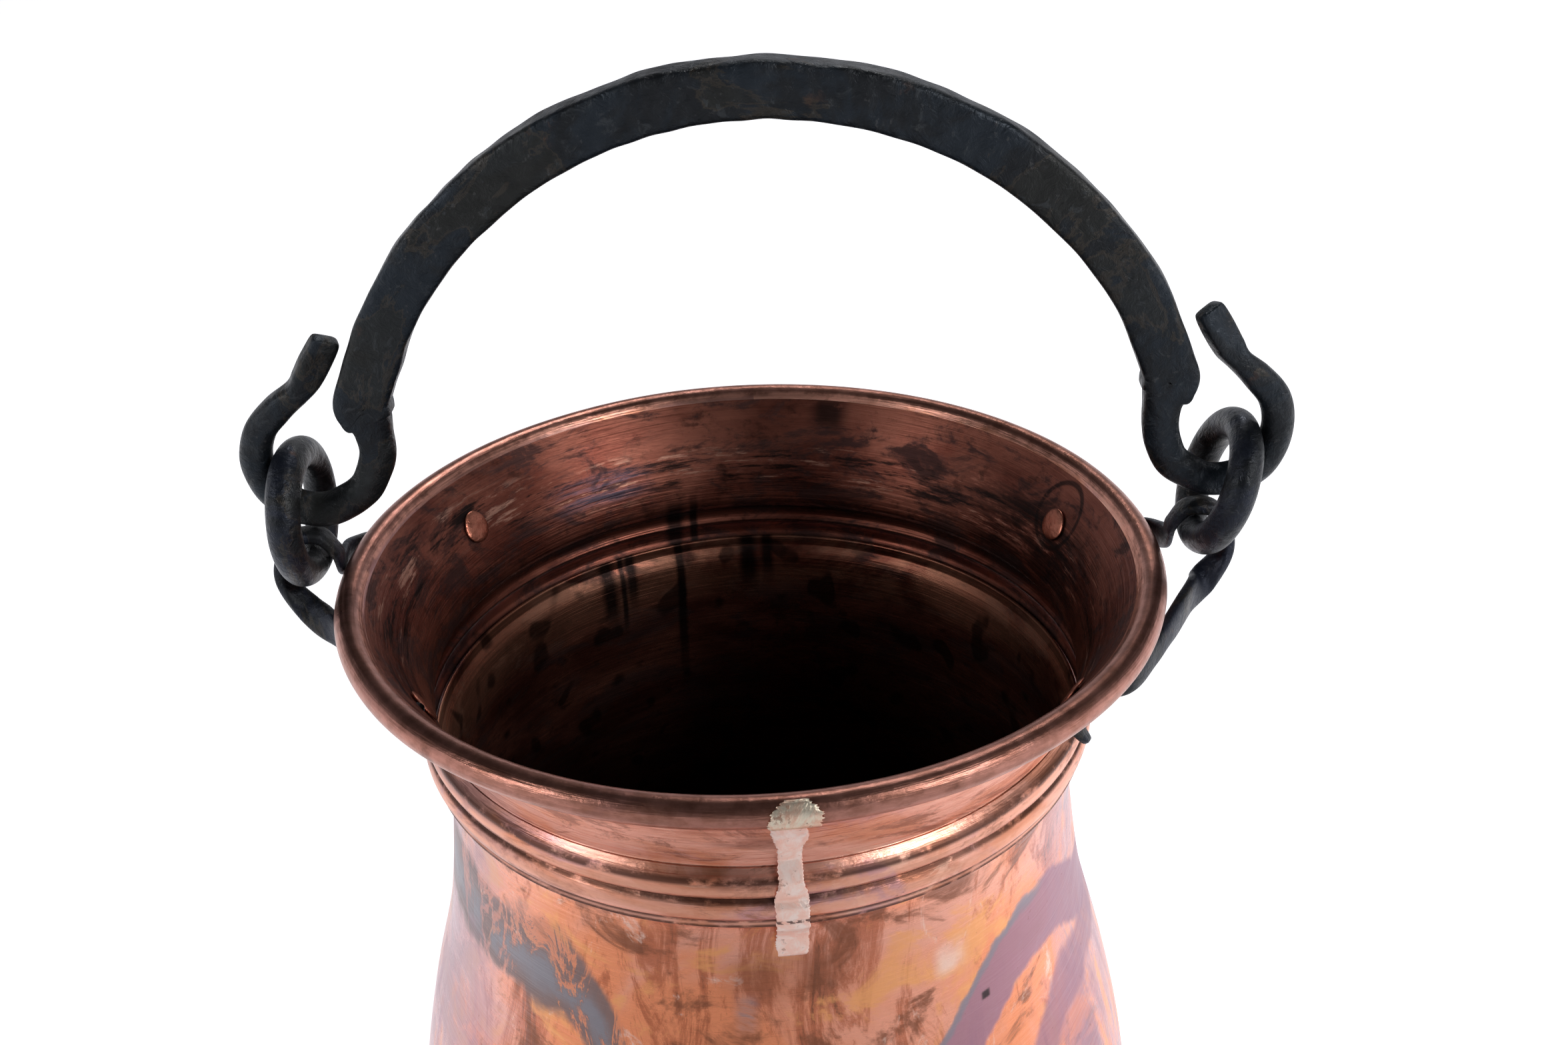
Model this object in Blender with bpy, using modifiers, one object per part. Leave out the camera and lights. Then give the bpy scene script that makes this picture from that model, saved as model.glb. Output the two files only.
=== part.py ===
"""A hand-made copper pail with a forged iron bail.

A raised copper bowl carries a separate flared collar, whose rim is rolled round an iron wire. Two
iron ears are riveted to the collar, a ring hangs on each ear, and the hooked ends of the bail sit in
the rings. Metres, +Z up, the base on z = 0, the ears and the bail's hinge along X, the front at -Y.
"""

import math

import bmesh
import bpy
from mathutils import Matrix, Vector

MM = 0.001

# ---- driving dimensions, in millimetres -----------------------------------------------------------
RIM_RADIUS = 120.0          # outside of the rolled rim
HEIGHT = 275.0              # base to the top of the rim
BEAD = 4.05                 # radius of the rolled rim's round section
SHEET = 1.1                 # thickness of the collar's copper
BOWL_SHEET = 1.2            # thickness of the bowl's copper
GAP = 0.3                   # air between pieces that touch
BEAD_CIRCLE = RIM_RADIUS - BEAD
BEAD_HEIGHT = HEIGHT - BEAD

FLARE_TOP = 2.1             # heights here are measured from the centre of the rim's bead
FLARE_BOTTOM = -32.6
FLARE_NECK = 97.05          # middle of the sheet at the first groove
FLARE_SPREAD = 16.1
FLARE_POWER = 1.6

BASE_RADIUS = 90.0
BELLY_RADIUS = 124.0
BELLY_DEPTH = -220.0

RING_X = {"left": -128.6, "right": 138.6}
RING_MEAN = 17.5
RING_ROD = 4.9
RING_CENTRE = 20.5
EAR_AXIS = 12.2             # height of the rings' hinge line, the middle of the ears' saddles
HOOK_AXIS = 21.8            # height of the bail's hinge line, the middle of the hooks' rods

BAIL_CENTRE_X = 6.0
BAIL_ARCH = 119.5           # middle of the bar
BAIL_ARCH_HEIGHT = 19.8
BAIL_WIDE = 7.5             # half sizes of the bar
BAIL_THICK = 5.4

# Each ear runs from its rear rivet to its front one; angles in degrees from the ear's own side, and
# the arms' points as (outward, back, height), the same on both sides.
REAR_RIVET = {"left": 28.2, "right": 21.4}
FRONT_RIVET = {"left": -30.0, "right": -32.5}
REAR_ARM = {"left": ((105.9, 36.8, -11.5), (116.6, 28.0, -9.0), (121.0, 15.0, -5.5)),
            "right": ((109.8, 24.5, -10.5), (121.2, 20.4, -6.5), (128.6, 10.5, -3.0))}
FRONT_ARM = {"left": ((123.5, -15.0, -11.0), (116.0, -24.5, -11.5), (107.5, -33.5, -12.0)),
             "right": ((129.5, -15.5, -10.6), (119.6, -27.0, -10.8), (111.0, -38.5, -11.4),
                       (102.0, -47.0, -12.5))}
RIVET_HEIGHT = -13.0
PLATE = 1.3                 # half thickness of the ears' plates at their rivets
PLATE_GAP = 0.75
RIVET_SHANK = 2.2
RIVET_HOLE = 2.6
RIVET_HEAD = 4.1            # radius of the peened head outside
RIVET_INSIDE = 5.1          # radius of the low head inside
HOLE_DEPTH = 16.0
SEAM_ANGLE = -84.5          # degrees from +X
SEAM_WIDTH = 9.4
STRIP = 0.7
STRIP_TOP = -8.5
STRIP_COVE_END = -29.5

TURN_STEPS = 60             # facets of everything turned about the pail's axis

COPPER_OUT = (0.62, 0.27, 0.14, 1.0)
COPPER_PINK = (0.80, 0.42, 0.30, 1.0)
IRON = (0.035, 0.045, 0.055, 1.0)


# ---- helpers --------------------------------------------------------------------------------------
def clear_scene():
    """Empties the file, so that the script can be run again."""
    for old in list(bpy.data.objects):
        bpy.data.objects.remove(old, do_unlink=True)


def new_collection(name):
    """A collection under the scene."""
    made = bpy.data.collections.new(name)
    bpy.context.scene.collection.children.link(made)
    return made


def metal(name, colour, roughness):
    """A Principled metal."""
    made = bpy.data.materials.new(name)
    made.use_nodes = True
    shader = made.node_tree.nodes["Principled BSDF"]
    shader.inputs["Base Color"].default_value = colour
    shader.inputs["Roughness"].default_value = roughness
    shader.inputs["Metallic"].default_value = 1.0
    return made


def add_object(name, mesh, collection, material=None, parent=None, smooth=40.0):
    """Links a mesh as an object whose origin is its parent's origin."""
    made = bpy.data.objects.new(name, mesh)
    collection.objects.link(made)
    made.parent = parent
    if material:
        mesh.materials.append(material)
    if mesh.polygons:
        mesh.shade_smooth()
        mesh.set_sharp_from_angle(angle=math.radians(smooth))
    return made


def add_empty(name, collection, location, parent=None):
    """An empty on a joint's axis; its location is in millimetres from its parent."""
    made = bpy.data.objects.new(name, None)
    collection.objects.link(made)
    made.parent = parent
    made.location = Vector(location) * MM
    return made


def through(points, share):
    """A point on the smooth Catmull-Rom curve through all the points, at 0 to 1 along their list."""
    place = share * (len(points) - 1)
    index = min(int(place), len(points) - 2)
    t = place - index
    near = [points[min(max(index + k, 0), len(points) - 1)] for k in (-1, 0, 1, 2)]
    a, b, c, d = [Vector(p) for p in near]
    curve = 2 * b + (c - a) * t + (2 * a - 5 * b + 4 * c - d) * t ** 2
    return (curve + (3 * b - a - 3 * c + d) * t ** 3) / 2


def smooth_line(points, count):
    """That many points along the smooth curve through the given ones."""
    return [through(points, k / (count - 1)) for k in range(count)]


def turned(name, profile, collection, material, parent, thickness, angle=360.0, steps=TURN_STEPS):
    """Sheet metal turned about Z: the profile is the middle of the sheet, in millimetres."""
    mesh = bpy.data.meshes.new(name)
    verts = [(radius * MM, 0.0, height * MM) for radius, height in profile]
    mesh.from_pydata(verts, [(k, k + 1) for k in range(len(verts) - 1)], [])
    made = add_object(name, mesh, collection, material, parent)
    screw = made.modifiers.new("turn", "SCREW")
    screw.angle = math.radians(angle)
    screw.steps = steps
    screw.render_steps = steps
    screw.use_merge_vertices = True
    screw.merge_threshold = 0.00001
    if thickness:
        sheet = made.modifiers.new("sheet", "SOLIDIFY")
        sheet.thickness = thickness * MM
        sheet.offset = 0.0
        sheet.use_even_offset = True
    return made


def loft(name, stations, sides, collection, material, parent, roundness=2.5, per_span=2):
    """A forged bar. Each station is (centre, direction of its width, half width, half thickness).

    The centres and sizes run smoothly through the stations, and each section is a superellipse
    square to the path: |u / width| ** n + |v / thickness| ** n = 1, with n the roundness.
    """
    spans = len(stations) - 1
    count = spans * per_span + 1
    centres = [through([s[0] for s in stations], k / (count - 1)) for k in range(count)]
    widths = [through([s[1] for s in stations], k / (count - 1)) for k in range(count)]
    sizes = [through([(s[2], s[3], 0.0) for s in stations], k / (count - 1)) for k in range(count)]
    build = bmesh.new()
    rings = []
    for k in range(count):
        along = (centres[min(k + 1, count - 1)] - centres[max(k - 1, 0)]).normalized()
        across = (widths[k] - along * widths[k].dot(along)).normalized()
        normal = along.cross(across)
        ring = []
        for side in range(sides):
            turn = 2 * math.pi * (side + 0.5) / sides
            u = math.copysign(abs(math.cos(turn)) ** (2 / roundness), math.cos(turn))
            v = math.copysign(abs(math.sin(turn)) ** (2 / roundness), math.sin(turn))
            point = centres[k] + across * u * sizes[k].x + normal * v * sizes[k].y
            ring.append(build.verts.new(point * MM))
        rings.append(ring)
    for lower, upper in zip(rings[:-1], rings[1:]):
        for side in range(sides):
            after = (side + 1) % sides
            build.faces.new((lower[side], lower[after], upper[after], upper[side]))
    build.faces.new(rings[0])
    build.faces.new(rings[-1])
    bmesh.ops.recalc_face_normals(build, faces=build.faces)
    mesh = bpy.data.meshes.new(name)
    build.to_mesh(mesh)
    build.free()
    return add_object(name, mesh, collection, material, parent)


def cut_hole(target, cutter):
    """Takes the cutter out of the target, with the exact solver."""
    hole = target.modifiers.new("hole", "BOOLEAN")
    hole.operation = "DIFFERENCE"
    hole.object = cutter
    hole.solver = "EXACT"


# ---- the copper: profiles of the sheet, (radius, height) from the bead's centre ------------------
def flare_radius(height):
    """The cove of the neck: the radius grows with a power of the height above the first groove."""
    share = (height - FLARE_BOTTOM) / (FLARE_TOP - FLARE_BOTTOM)
    return FLARE_NECK + FLARE_SPREAD * max(share, 0.0) ** FLARE_POWER


def flare_slope(height):
    """How fast that radius grows with the height."""
    span = FLARE_TOP - FLARE_BOTTOM
    share = (height - FLARE_BOTTOM) / span
    return FLARE_SPREAD * FLARE_POWER / span * share ** (FLARE_POWER - 1)


def collar_profile():
    """The curl round the rim wire, the cove of the neck and the three turned grooves."""
    middle = BEAD - SHEET / 2
    curl_steps = 9
    first, last = math.radians(-140.0), math.radians(143.0)
    line = []
    for k in range(curl_steps):
        turn = first + (last - first) * k / (curl_steps - 1)
        line.append((BEAD_CIRCLE + middle * math.cos(turn), middle * math.sin(turn)))
    cove_steps = 6
    for k in range(1, cove_steps + 1):
        height = FLARE_TOP + (FLARE_BOTTOM - FLARE_TOP) * k / cove_steps
        line.append((flare_radius(height), height))
    line += [(99.8, -35.9), (100.3, -38.6), (99.35, -41.2), (100.7, -43.6), (100.8, -45.8)]
    line += [(99.45, -48.3), (99.6, -50.2)]
    return [(radius, BEAD_HEIGHT + height) for radius, height in line]


def bowl_profile():
    """The lip inside the collar, the waist, the swelling belly and the flat base."""
    half = BOWL_SHEET / 2
    wall = smooth_line([(98.2, -50.6), (95.8, -57.5), (97.0, -80.0), (102.4, -115.0),
                        (112.0, -150.0), (119.7, -185.0), (BELLY_RADIUS, BELLY_DEPTH)], 13)
    line = [(98.3 - half, -47.4)] + [(point.x - half, point.y) for point in wall]
    foot = half - BEAD_HEIGHT
    heel_steps = 5
    for k in range(1, heel_steps + 1):
        turn = math.pi / 2 * k / heel_steps
        across = BASE_RADIUS + (BELLY_RADIUS - half - BASE_RADIUS) * math.cos(turn)
        line.append((across, BELLY_DEPTH + (foot - BELLY_DEPTH) * math.sin(turn)))
    line += [(BASE_RADIUS / 2, foot), (0.0, foot)]
    return [(radius, BEAD_HEIGHT + height) for radius, height in line]


def strip_profile():
    """The seam strip lies on the collar's outer side and runs on to the bowl's waist."""
    off = SHEET / 2 + GAP + 0.1 + STRIP / 2
    line = []
    steps = 5
    for k in range(steps):
        height = STRIP_TOP + (STRIP_COVE_END - STRIP_TOP) * k / (steps - 1)
        slope = flare_slope(height)
        long = math.hypot(1.0, slope)
        line.append((flare_radius(height) + off / long, height - off * slope / long))
    line += [(101.3, -35.0), (101.8, -38.4), (101.1, -41.2), (102.1, -43.3), (102.3, -46.2),
             (101.3, -49.0), (100.9, -50.9), (99.1, -53.4), (97.5, -57.5), (97.5, -62.5)]
    return [(radius, BEAD_HEIGHT + height) for radius, height in line]


def make_copper(parts, vessel):
    """The bowl, the collar, the rim wire and the seam strip."""
    outside = metal("copper_polished", COPPER_OUT, 0.32)
    bowl = turned("body_bowl", bowl_profile(), parts, outside, vessel, BOWL_SHEET)
    collar = turned("neck_collar", collar_profile(), parts, metal("copper_worn", COPPER_OUT, 0.35),
                    vessel, SHEET)
    bpy.ops.mesh.primitive_torus_add(
        major_segments=TURN_STEPS, minor_segments=8, major_radius=BEAD_CIRCLE * MM,
        minor_radius=(BEAD - SHEET - GAP) * MM)
    wire = bpy.context.object
    wire.name = "rim_wire"
    for group in list(wire.users_collection):
        group.objects.unlink(wire)
    parts.objects.link(wire)
    wire.parent = vessel
    wire.location = (0.0, 0.0, BEAD_HEIGHT * MM)
    wire.data.materials.append(metal("iron_wire", IRON, 0.6))
    wire.data.shade_smooth()
    half_angle = math.degrees(SEAM_WIDTH / 2 / FLARE_NECK)
    strip = turned("seam_strip", strip_profile(), parts, metal("copper_bright", COPPER_PINK, 0.4),
                   vessel, STRIP, 2 * half_angle, 3)
    strip.rotation_euler = (0.0, 0.0, math.radians(SEAM_ANGLE - half_angle))
    return bowl, collar


# ---- rivets ---------------------------------------------------------------------------------------
def wall_frame(angle, height):
    """The point on the middle of the collar's sheet, its outward normal and its upward slope."""
    slope = flare_slope(height)
    long = math.hypot(1.0, slope)
    outward = Vector((math.cos(math.radians(angle)), math.sin(math.radians(angle)), 0.0))
    up = Vector((0.0, 0.0, 1.0))
    point = outward * flare_radius(height) + up * (BEAD_HEIGHT + height)
    return point, (outward - up * slope) / long, (outward * slope + up) / long


def rivet_profile():
    """Turned about its own axis: a low head inside the collar, a shank, a peened head outside."""
    inner = SHEET / 2 + GAP + 0.15
    outer = SHEET / 2 + PLATE_GAP + 2 * PLATE + GAP
    return [(0.0, outer + 1.9), (2.3, outer + 1.6), (3.7, outer + 0.8), (RIVET_HEAD, outer),
            (RIVET_SHANK, outer), (RIVET_SHANK, -inner), (RIVET_INSIDE, -inner),
            (4.9, -inner - 0.6), (3.2, -inner - 1.0), (0.0, -inner - 1.1)]


def make_rivet(name, angle, parts, cutters, copper, vessel):
    """One copper rivet through the collar and an ear's plate, and the cutter for its hole."""
    point, normal, slope = wall_frame(angle, RIVET_HEIGHT)
    across = normal.cross(slope)
    place = Matrix((slope, across, normal)).transposed().to_4x4()
    place.translation = point * MM
    rivet = turned(name, rivet_profile(), parts, copper, vessel, 0.0, 360.0, 16)
    rivet.matrix_local = place
    build = bmesh.new()
    bmesh.ops.create_cone(build, cap_ends=True, segments=16, radius1=RIVET_HOLE * MM,
                          radius2=RIVET_HOLE * MM, depth=HOLE_DEPTH * MM)
    mesh = bpy.data.meshes.new(name + "_hole")
    build.to_mesh(mesh)
    build.free()
    cutter = add_object(name + "_hole", mesh, cutters, None, vessel)
    cutter.matrix_local = place
    cutter.hide_render = True
    cutter.display_type = "WIRE"
    return cutter


# ---- iron -----------------------------------------------------------------------------------------
def plate_station(angle, half_width, half_thick):
    """A place on the strap where it lies on the collar; its width runs up the wall's slope."""
    point, normal, slope = wall_frame(angle, RIVET_HEIGHT)
    centre = point + normal * (SHEET / 2 + PLATE_GAP + half_thick)
    return centre, slope, half_width, half_thick


def ear_stations(side):
    """One strap from the rear plate, up inside the ring, over its rod, and on to the front plate."""
    up = Vector((0.0, 0.0, 1.0))
    back = Vector((0.0, 1.0, 0.0))
    both = Vector((0.0, 1.0, 1.0))
    ring_x = abs(RING_X[side])

    def at(point, width_way, half_width, half_thick):
        return Vector(point) + up * BEAD_HEIGHT, width_way, half_width, half_thick

    def by_ring(dx, y, height, width_way, half_width, half_thick):
        return at((ring_x + dx, y, height), width_way, half_width, half_thick)

    rear = [plate_station(REAR_RIVET[side] + turn, wide, thick) for turn, wide, thick in
            ((4.6, 3.6, 1.2), (3.2, 6.6, PLATE), (0.0, 7.4, PLATE), (-3.6, 6.0, 1.4),
             (-6.6, 4.6, 1.6))]
    front = [plate_station(FRONT_RIVET[side] + turn, wide, thick) for turn, wide, thick in
             ((6.0, 5.2, 1.7), (3.4, 6.6, 1.5), (0.0, 7.4, PLATE), (-3.2, 6.6, PLATE),
              (-4.6, 3.6, 1.2))]
    rear_arm = [at(point, up, 3.6, 1.5) for point in REAR_ARM[side]]
    saddle = [by_ring(-6.8, 3.6, 1.2, both, 3.5, 1.45), by_ring(-6.7, 0.9, 6.6, back, 3.5, 1.5),
              by_ring(-3.6, 0.0, 11.4, back, 3.4, 1.9), by_ring(0.4, 0.0, EAR_AXIS, back, 3.4, 2.1),
              by_ring(4.3, -0.2, 11.3, back, 3.4, 2.1), by_ring(7.5, -1.4, 7.2, back, 3.5, 2.1),
              by_ring(8.2, -3.6, 0.0, back, 3.6, 2.1), by_ring(6.4, -7.8, -8.6, both, 3.6, 2.1)]
    front_arm = [at(point, up, 4.3, 1.9) for point in FRONT_ARM[side]]
    return rear + rear_arm + saddle + front_arm + front


def mirrored(stations):
    """The same strap on the left side of the pail."""
    flip = Matrix.Scale(-1.0, 3, (1.0, 0.0, 0.0))
    return [(flip @ centre, flip @ way, wide, thick) for centre, way, wide, thick in stations]


def hook_points():
    """The rod of one hook, from the bar to the tip: (outward, height, half width, half thickness)."""
    return [(113.8, 54.0, 7.2, 5.3), (111.2, 48.4, 6.0, 5.1), (110.9, 43.0, 5.2, 4.9),
            (111.9, 36.5, 5.1, 4.8), (114.8, 30.4, 5.0, 4.8), (120.2, 25.0, 4.9, 4.8),
            (127.5, 21.8, 4.8, 4.8), (135.8, 23.2, 4.8, 4.8), (142.4, 29.2, 4.8, 4.7),
            (144.9, 38.0, 4.7, 4.6), (143.0, 46.8, 4.4, 4.4), (137.6, 53.6, 4.0, 4.2),
            (131.4, 59.4, 3.7, 4.2), (127.4, 65.2, 3.6, 4.3), (123.6, 71.0, 3.4, 4.4),
            (121.4, 74.2, 2.6, 3.6)]


def bail_stations():
    """The whole bail: the left hook from its tip, the arch, and the right hook to its tip."""
    hook = hook_points()
    arch_from = math.radians(27.0)
    arch_steps = 12
    arch = []
    for k in range(arch_steps + 1):
        turn = math.pi - arch_from - (math.pi - 2 * arch_from) * k / arch_steps
        arch.append((BAIL_ARCH * math.cos(turn), BAIL_ARCH_HEIGHT + BAIL_ARCH * math.sin(turn),
                     BAIL_WIDE, BAIL_THICK))
    left = [(-out, height, wide, thick) for out, height, wide, thick in reversed(hook)]
    flat = left + arch + hook
    stations = []
    for k, (out, height, wide, thick) in enumerate(flat):
        before = flat[max(k - 1, 0)]
        after = flat[min(k + 1, len(flat) - 1)]
        along = Vector((after[0] - before[0], 0.0, after[1] - before[1]))
        width_way = Vector((0.0, 1.0, 0.0)).cross(along).normalized()
        stations.append((Vector((out, 0.0, height - HOOK_AXIS)), width_way, wide, thick))
    return stations


def make_ring(name, x, parts, iron, hinge):
    """A round iron ring in the plane square to X, hung on its ear's saddle."""
    bpy.ops.mesh.primitive_torus_add(major_segments=24, minor_segments=10,
                                     major_radius=RING_MEAN * MM, minor_radius=RING_ROD * MM)
    ring = bpy.context.object
    ring.name = name
    for group in list(ring.users_collection):
        group.objects.unlink(ring)
    parts.objects.link(ring)
    ring.data.transform(Matrix.Rotation(math.pi / 2, 4, "Y"))
    ring.data.transform(Matrix.Translation((0.0, 0.0, (RING_CENTRE - EAR_AXIS) * MM)))
    ring.parent = hinge
    ring.data.materials.append(iron)
    ring.data.shade_smooth()
    return ring


def make_iron(parts, cutters, vessel, collar):
    """Ears, rivets, rings and bail, with the empties that stand on their hinges."""
    forged = metal("iron_forged", IRON, 0.45)
    copper = metal("copper_rivet", COPPER_PINK, 0.4)
    strap = metal("iron_strap", IRON, 0.55)
    ears = {"right": loft("ear_right", ear_stations("right"), 8, parts, strap, vessel),
            "left": loft("ear_left", mirrored(ear_stations("left")), 8, parts, strap, vessel)}
    places = {"rivet_right_rear": ("right", REAR_RIVET["right"]),
              "rivet_right_front": ("right", FRONT_RIVET["right"]),
              "rivet_left_front": ("left", 180.0 - FRONT_RIVET["left"]),
              "rivet_left_rear": ("left", 180.0 - REAR_RIVET["left"])}
    for name, (side, angle) in places.items():
        cutter = make_rivet(name, angle, parts, cutters, copper, vessel)
        cut_hole(collar, cutter)
        cut_hole(ears[side], cutter)
    swing = {}
    for side, x in RING_X.items():
        swing[side] = add_empty("ring_" + side + "_hinge", parts, (x, 0.0, BEAD_HEIGHT + EAR_AXIS))
        make_ring("ring_" + side, x, parts, metal("iron_ring_" + side, IRON, 0.4), swing[side])
    bail_hinge = add_empty("bail_hinge", parts, (BAIL_CENTRE_X - RING_X["left"], 0.0,
                                                 HOOK_AXIS - EAR_AXIS), swing["left"])
    loft("bail_handle", bail_stations(), 10, parts, forged, bail_hinge, 3.0, 1)


def main():
    """Builds the pail."""
    clear_scene()
    parts = new_collection("copper_pail")
    cutters = new_collection("cutters")
    vessel = add_empty("pail", parts, (0.0, 0.0, 0.0))
    bowl, collar = make_copper(parts, vessel)
    make_iron(parts, cutters, vessel, collar)
    bpy.context.view_layer.update()


main()
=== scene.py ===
# %% [markdown]
# # A copper pail with a forged iron bail
# A coppersmith raises the bowl from one sheet and spins a separate flared collar, whose rim is
# rolled round an iron wire. A blacksmith forges the rest: two ears riveted to the collar, a ring
# on each, and a bail whose hooked ends sit in the rings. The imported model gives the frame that
# all of it moves with; here each part gets its real surface and its metal.

# %% Load the frame
import math
import bpy
import numpy as np
from mathutils import Matrix, Vector


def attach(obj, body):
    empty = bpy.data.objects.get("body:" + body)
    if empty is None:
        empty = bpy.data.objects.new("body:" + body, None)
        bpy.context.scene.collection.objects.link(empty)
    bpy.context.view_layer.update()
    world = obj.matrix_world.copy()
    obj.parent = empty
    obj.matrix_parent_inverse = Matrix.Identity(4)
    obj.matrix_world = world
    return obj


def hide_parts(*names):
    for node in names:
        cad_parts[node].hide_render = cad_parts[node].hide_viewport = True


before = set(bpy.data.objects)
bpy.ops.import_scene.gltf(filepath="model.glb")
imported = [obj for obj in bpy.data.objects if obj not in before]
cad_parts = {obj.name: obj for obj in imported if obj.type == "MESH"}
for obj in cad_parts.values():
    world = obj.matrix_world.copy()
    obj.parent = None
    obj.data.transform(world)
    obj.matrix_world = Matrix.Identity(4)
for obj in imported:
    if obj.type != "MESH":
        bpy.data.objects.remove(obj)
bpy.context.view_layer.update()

# %% [markdown]
# ## The main sizes
# The smith's own sizes, in millimetres. Heights near the rim are measured from the centre of the
# rolled bead, because the rim is where everything is fastened.

# %% Sizes
MM = 0.001
BEAD, SHEET, BOWL_SHEET, GAP = 4.05, 1.1, 1.2, 0.3
BEAD_CIRCLE = 120.0 - BEAD
BEAD_HEIGHT = 275.0 - BEAD
FLARE_TOP, FLARE_BOTTOM, FLARE_NECK, FLARE_SPREAD, FLARE_POWER = 2.1, -32.6, 97.05, 16.1, 1.6
BASE_RADIUS, BELLY_RADIUS, BELLY_DEPTH = 90.0, 124.0, -220.0
RING_X = {"left": -128.6, "right": 138.6}
RING_MEAN, RING_ROD, RING_CENTRE = 17.5, 4.9, 20.5
BAIL_CENTRE_X, BAIL_ARCH, BAIL_ARCH_HEIGHT = 6.0, 119.5, 19.8
SEAM = -84.5
RIVET_HEIGHT, PLATE, PLATE_GAP = -13.0, 1.3, 0.75
REAR_RIVET, FRONT_RIVET = {"left": 28.2, "right": 21.4}, {"left": -30.0, "right": -32.5}
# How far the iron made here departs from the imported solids, for its look and to stay clear.
RING_SHRINK, RING_LIFT = 0.4, 0.8
RING_SHIFT, RING_YAW = {"left": 0.0, "right": -3.1}, {"left": -2.0, "right": 0.0}
RING_LEAN, RING_SEED = {"left": 0.0, "right": 18.0}, {"left": 2, "right": 5}
ARCH_SHRINK, ARCH_ASIDE, ARCH_LIFT, ARCH_END = 2.4, 0.7, 1.7, 27
HOOK_INSET, TIP_BEND = {"left": 3.2, "right": 1.9}, {"left": 1.0, "right": 0.0}
# The bail's bar, as half width, half thickness and power, and the meshes' rows and columns.
BAR = (7.5, 5.4, 6.0)
COLUMNS, STRIP_ROWS, SOLDER_ROWS = 384, 150, 60
print("rim", 2 * (BEAD_CIRCLE + BEAD), "mm across, bead centre", BEAD_HEIGHT, "mm up")

# %% [markdown]
# ## The camera
# It stands in front of the pail and looks down on the rim from 30 degrees, with a small roll,
# as somebody does who leans over a table to see inside. A long side of 36 mm and a lens of 37 mm
# give a slightly wide view, so the front of the rim looks nearer than the back.

# %% Camera
ELEVATION, STAND_OFF, HINGE_LINE, LENS, LONG_SIDE = 30.327, 0.47751, 2.0, 37.16, 36.0


def turn_about(axis, angle):
    """The 3x3 matrix that turns by an angle in degrees about an axis."""
    return Matrix.Rotation(math.radians(angle), 3, axis)


def new_object(name, data):
    """An object with that data, linked to the scene."""
    made = bpy.data.objects.new(name, data)
    bpy.context.scene.collection.objects.link(made)
    return made


elevation = math.radians(ELEVATION)
away = Vector((0.0, -math.cos(elevation), math.sin(elevation)))
forward, right = -away, Vector((1.0, 0.0, 0.0))
above = right.cross(forward)
for swing, axis_name in ((-1.243, "above"), (1.2605, "right"), (2.91, "forward")):
    axis = {"above": above, "right": right, "forward": forward}[axis_name]
    spin = turn_about(axis, swing)
    forward, right, above = spin @ forward, spin @ right, spin @ above
to_hinge_line = turn_about(Vector((0.0, 0.0, 1.0)), HINGE_LINE)
stand = to_hinge_line @ (away * STAND_OFF) + Vector((0.0, 0.0, BEAD_HEIGHT * MM))
forward, right, above = (to_hinge_line @ v for v in (forward, right, above))
camera = new_object("camera", bpy.data.cameras.new("camera"))
camera.data.sensor_width, camera.data.lens = LONG_SIDE, LENS
camera.data.clip_start, camera.data.clip_end = 0.01, 50.0
placed = Matrix((right, above, -forward)).transposed().to_4x4()
placed.translation = stand
camera.matrix_world = placed
bpy.context.scene.camera = camera
print("camera stands at", [round(c, 3) for c in stand], "m")

# %% [markdown]
# ## Surfaces from numpy
# A surface here is an array of points with rows and columns. One function turns such an array
# into a closed mesh: neighbouring points make quads, the columns always close into a ring, the
# rows close if the shape is a loop, and an open end is shut with a fan of triangles.

# %% Small helpers
def circle(count):
    """That many angles, evenly round a full turn."""
    return np.linspace(0, 2 * math.pi, count, endpoint=False)


def unit(vectors):
    """The same vectors, each with length 1."""
    return vectors / np.linalg.norm(vectors, axis=-1, keepdims=True)


def run_length(line):
    """The distance travelled at each point of a line: the sum of the steps before it."""
    return np.concatenate([[0], np.cumsum(np.linalg.norm(np.diff(line, axis=0), axis=1))])


def squared_off(wave, power):
    """sgn(w) |w|^power, which makes a superellipse of a circle's sine and cosine."""
    return np.sign(wave) * np.abs(wave) ** power


print("a circle of 4:", circle(4).round(2))

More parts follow.
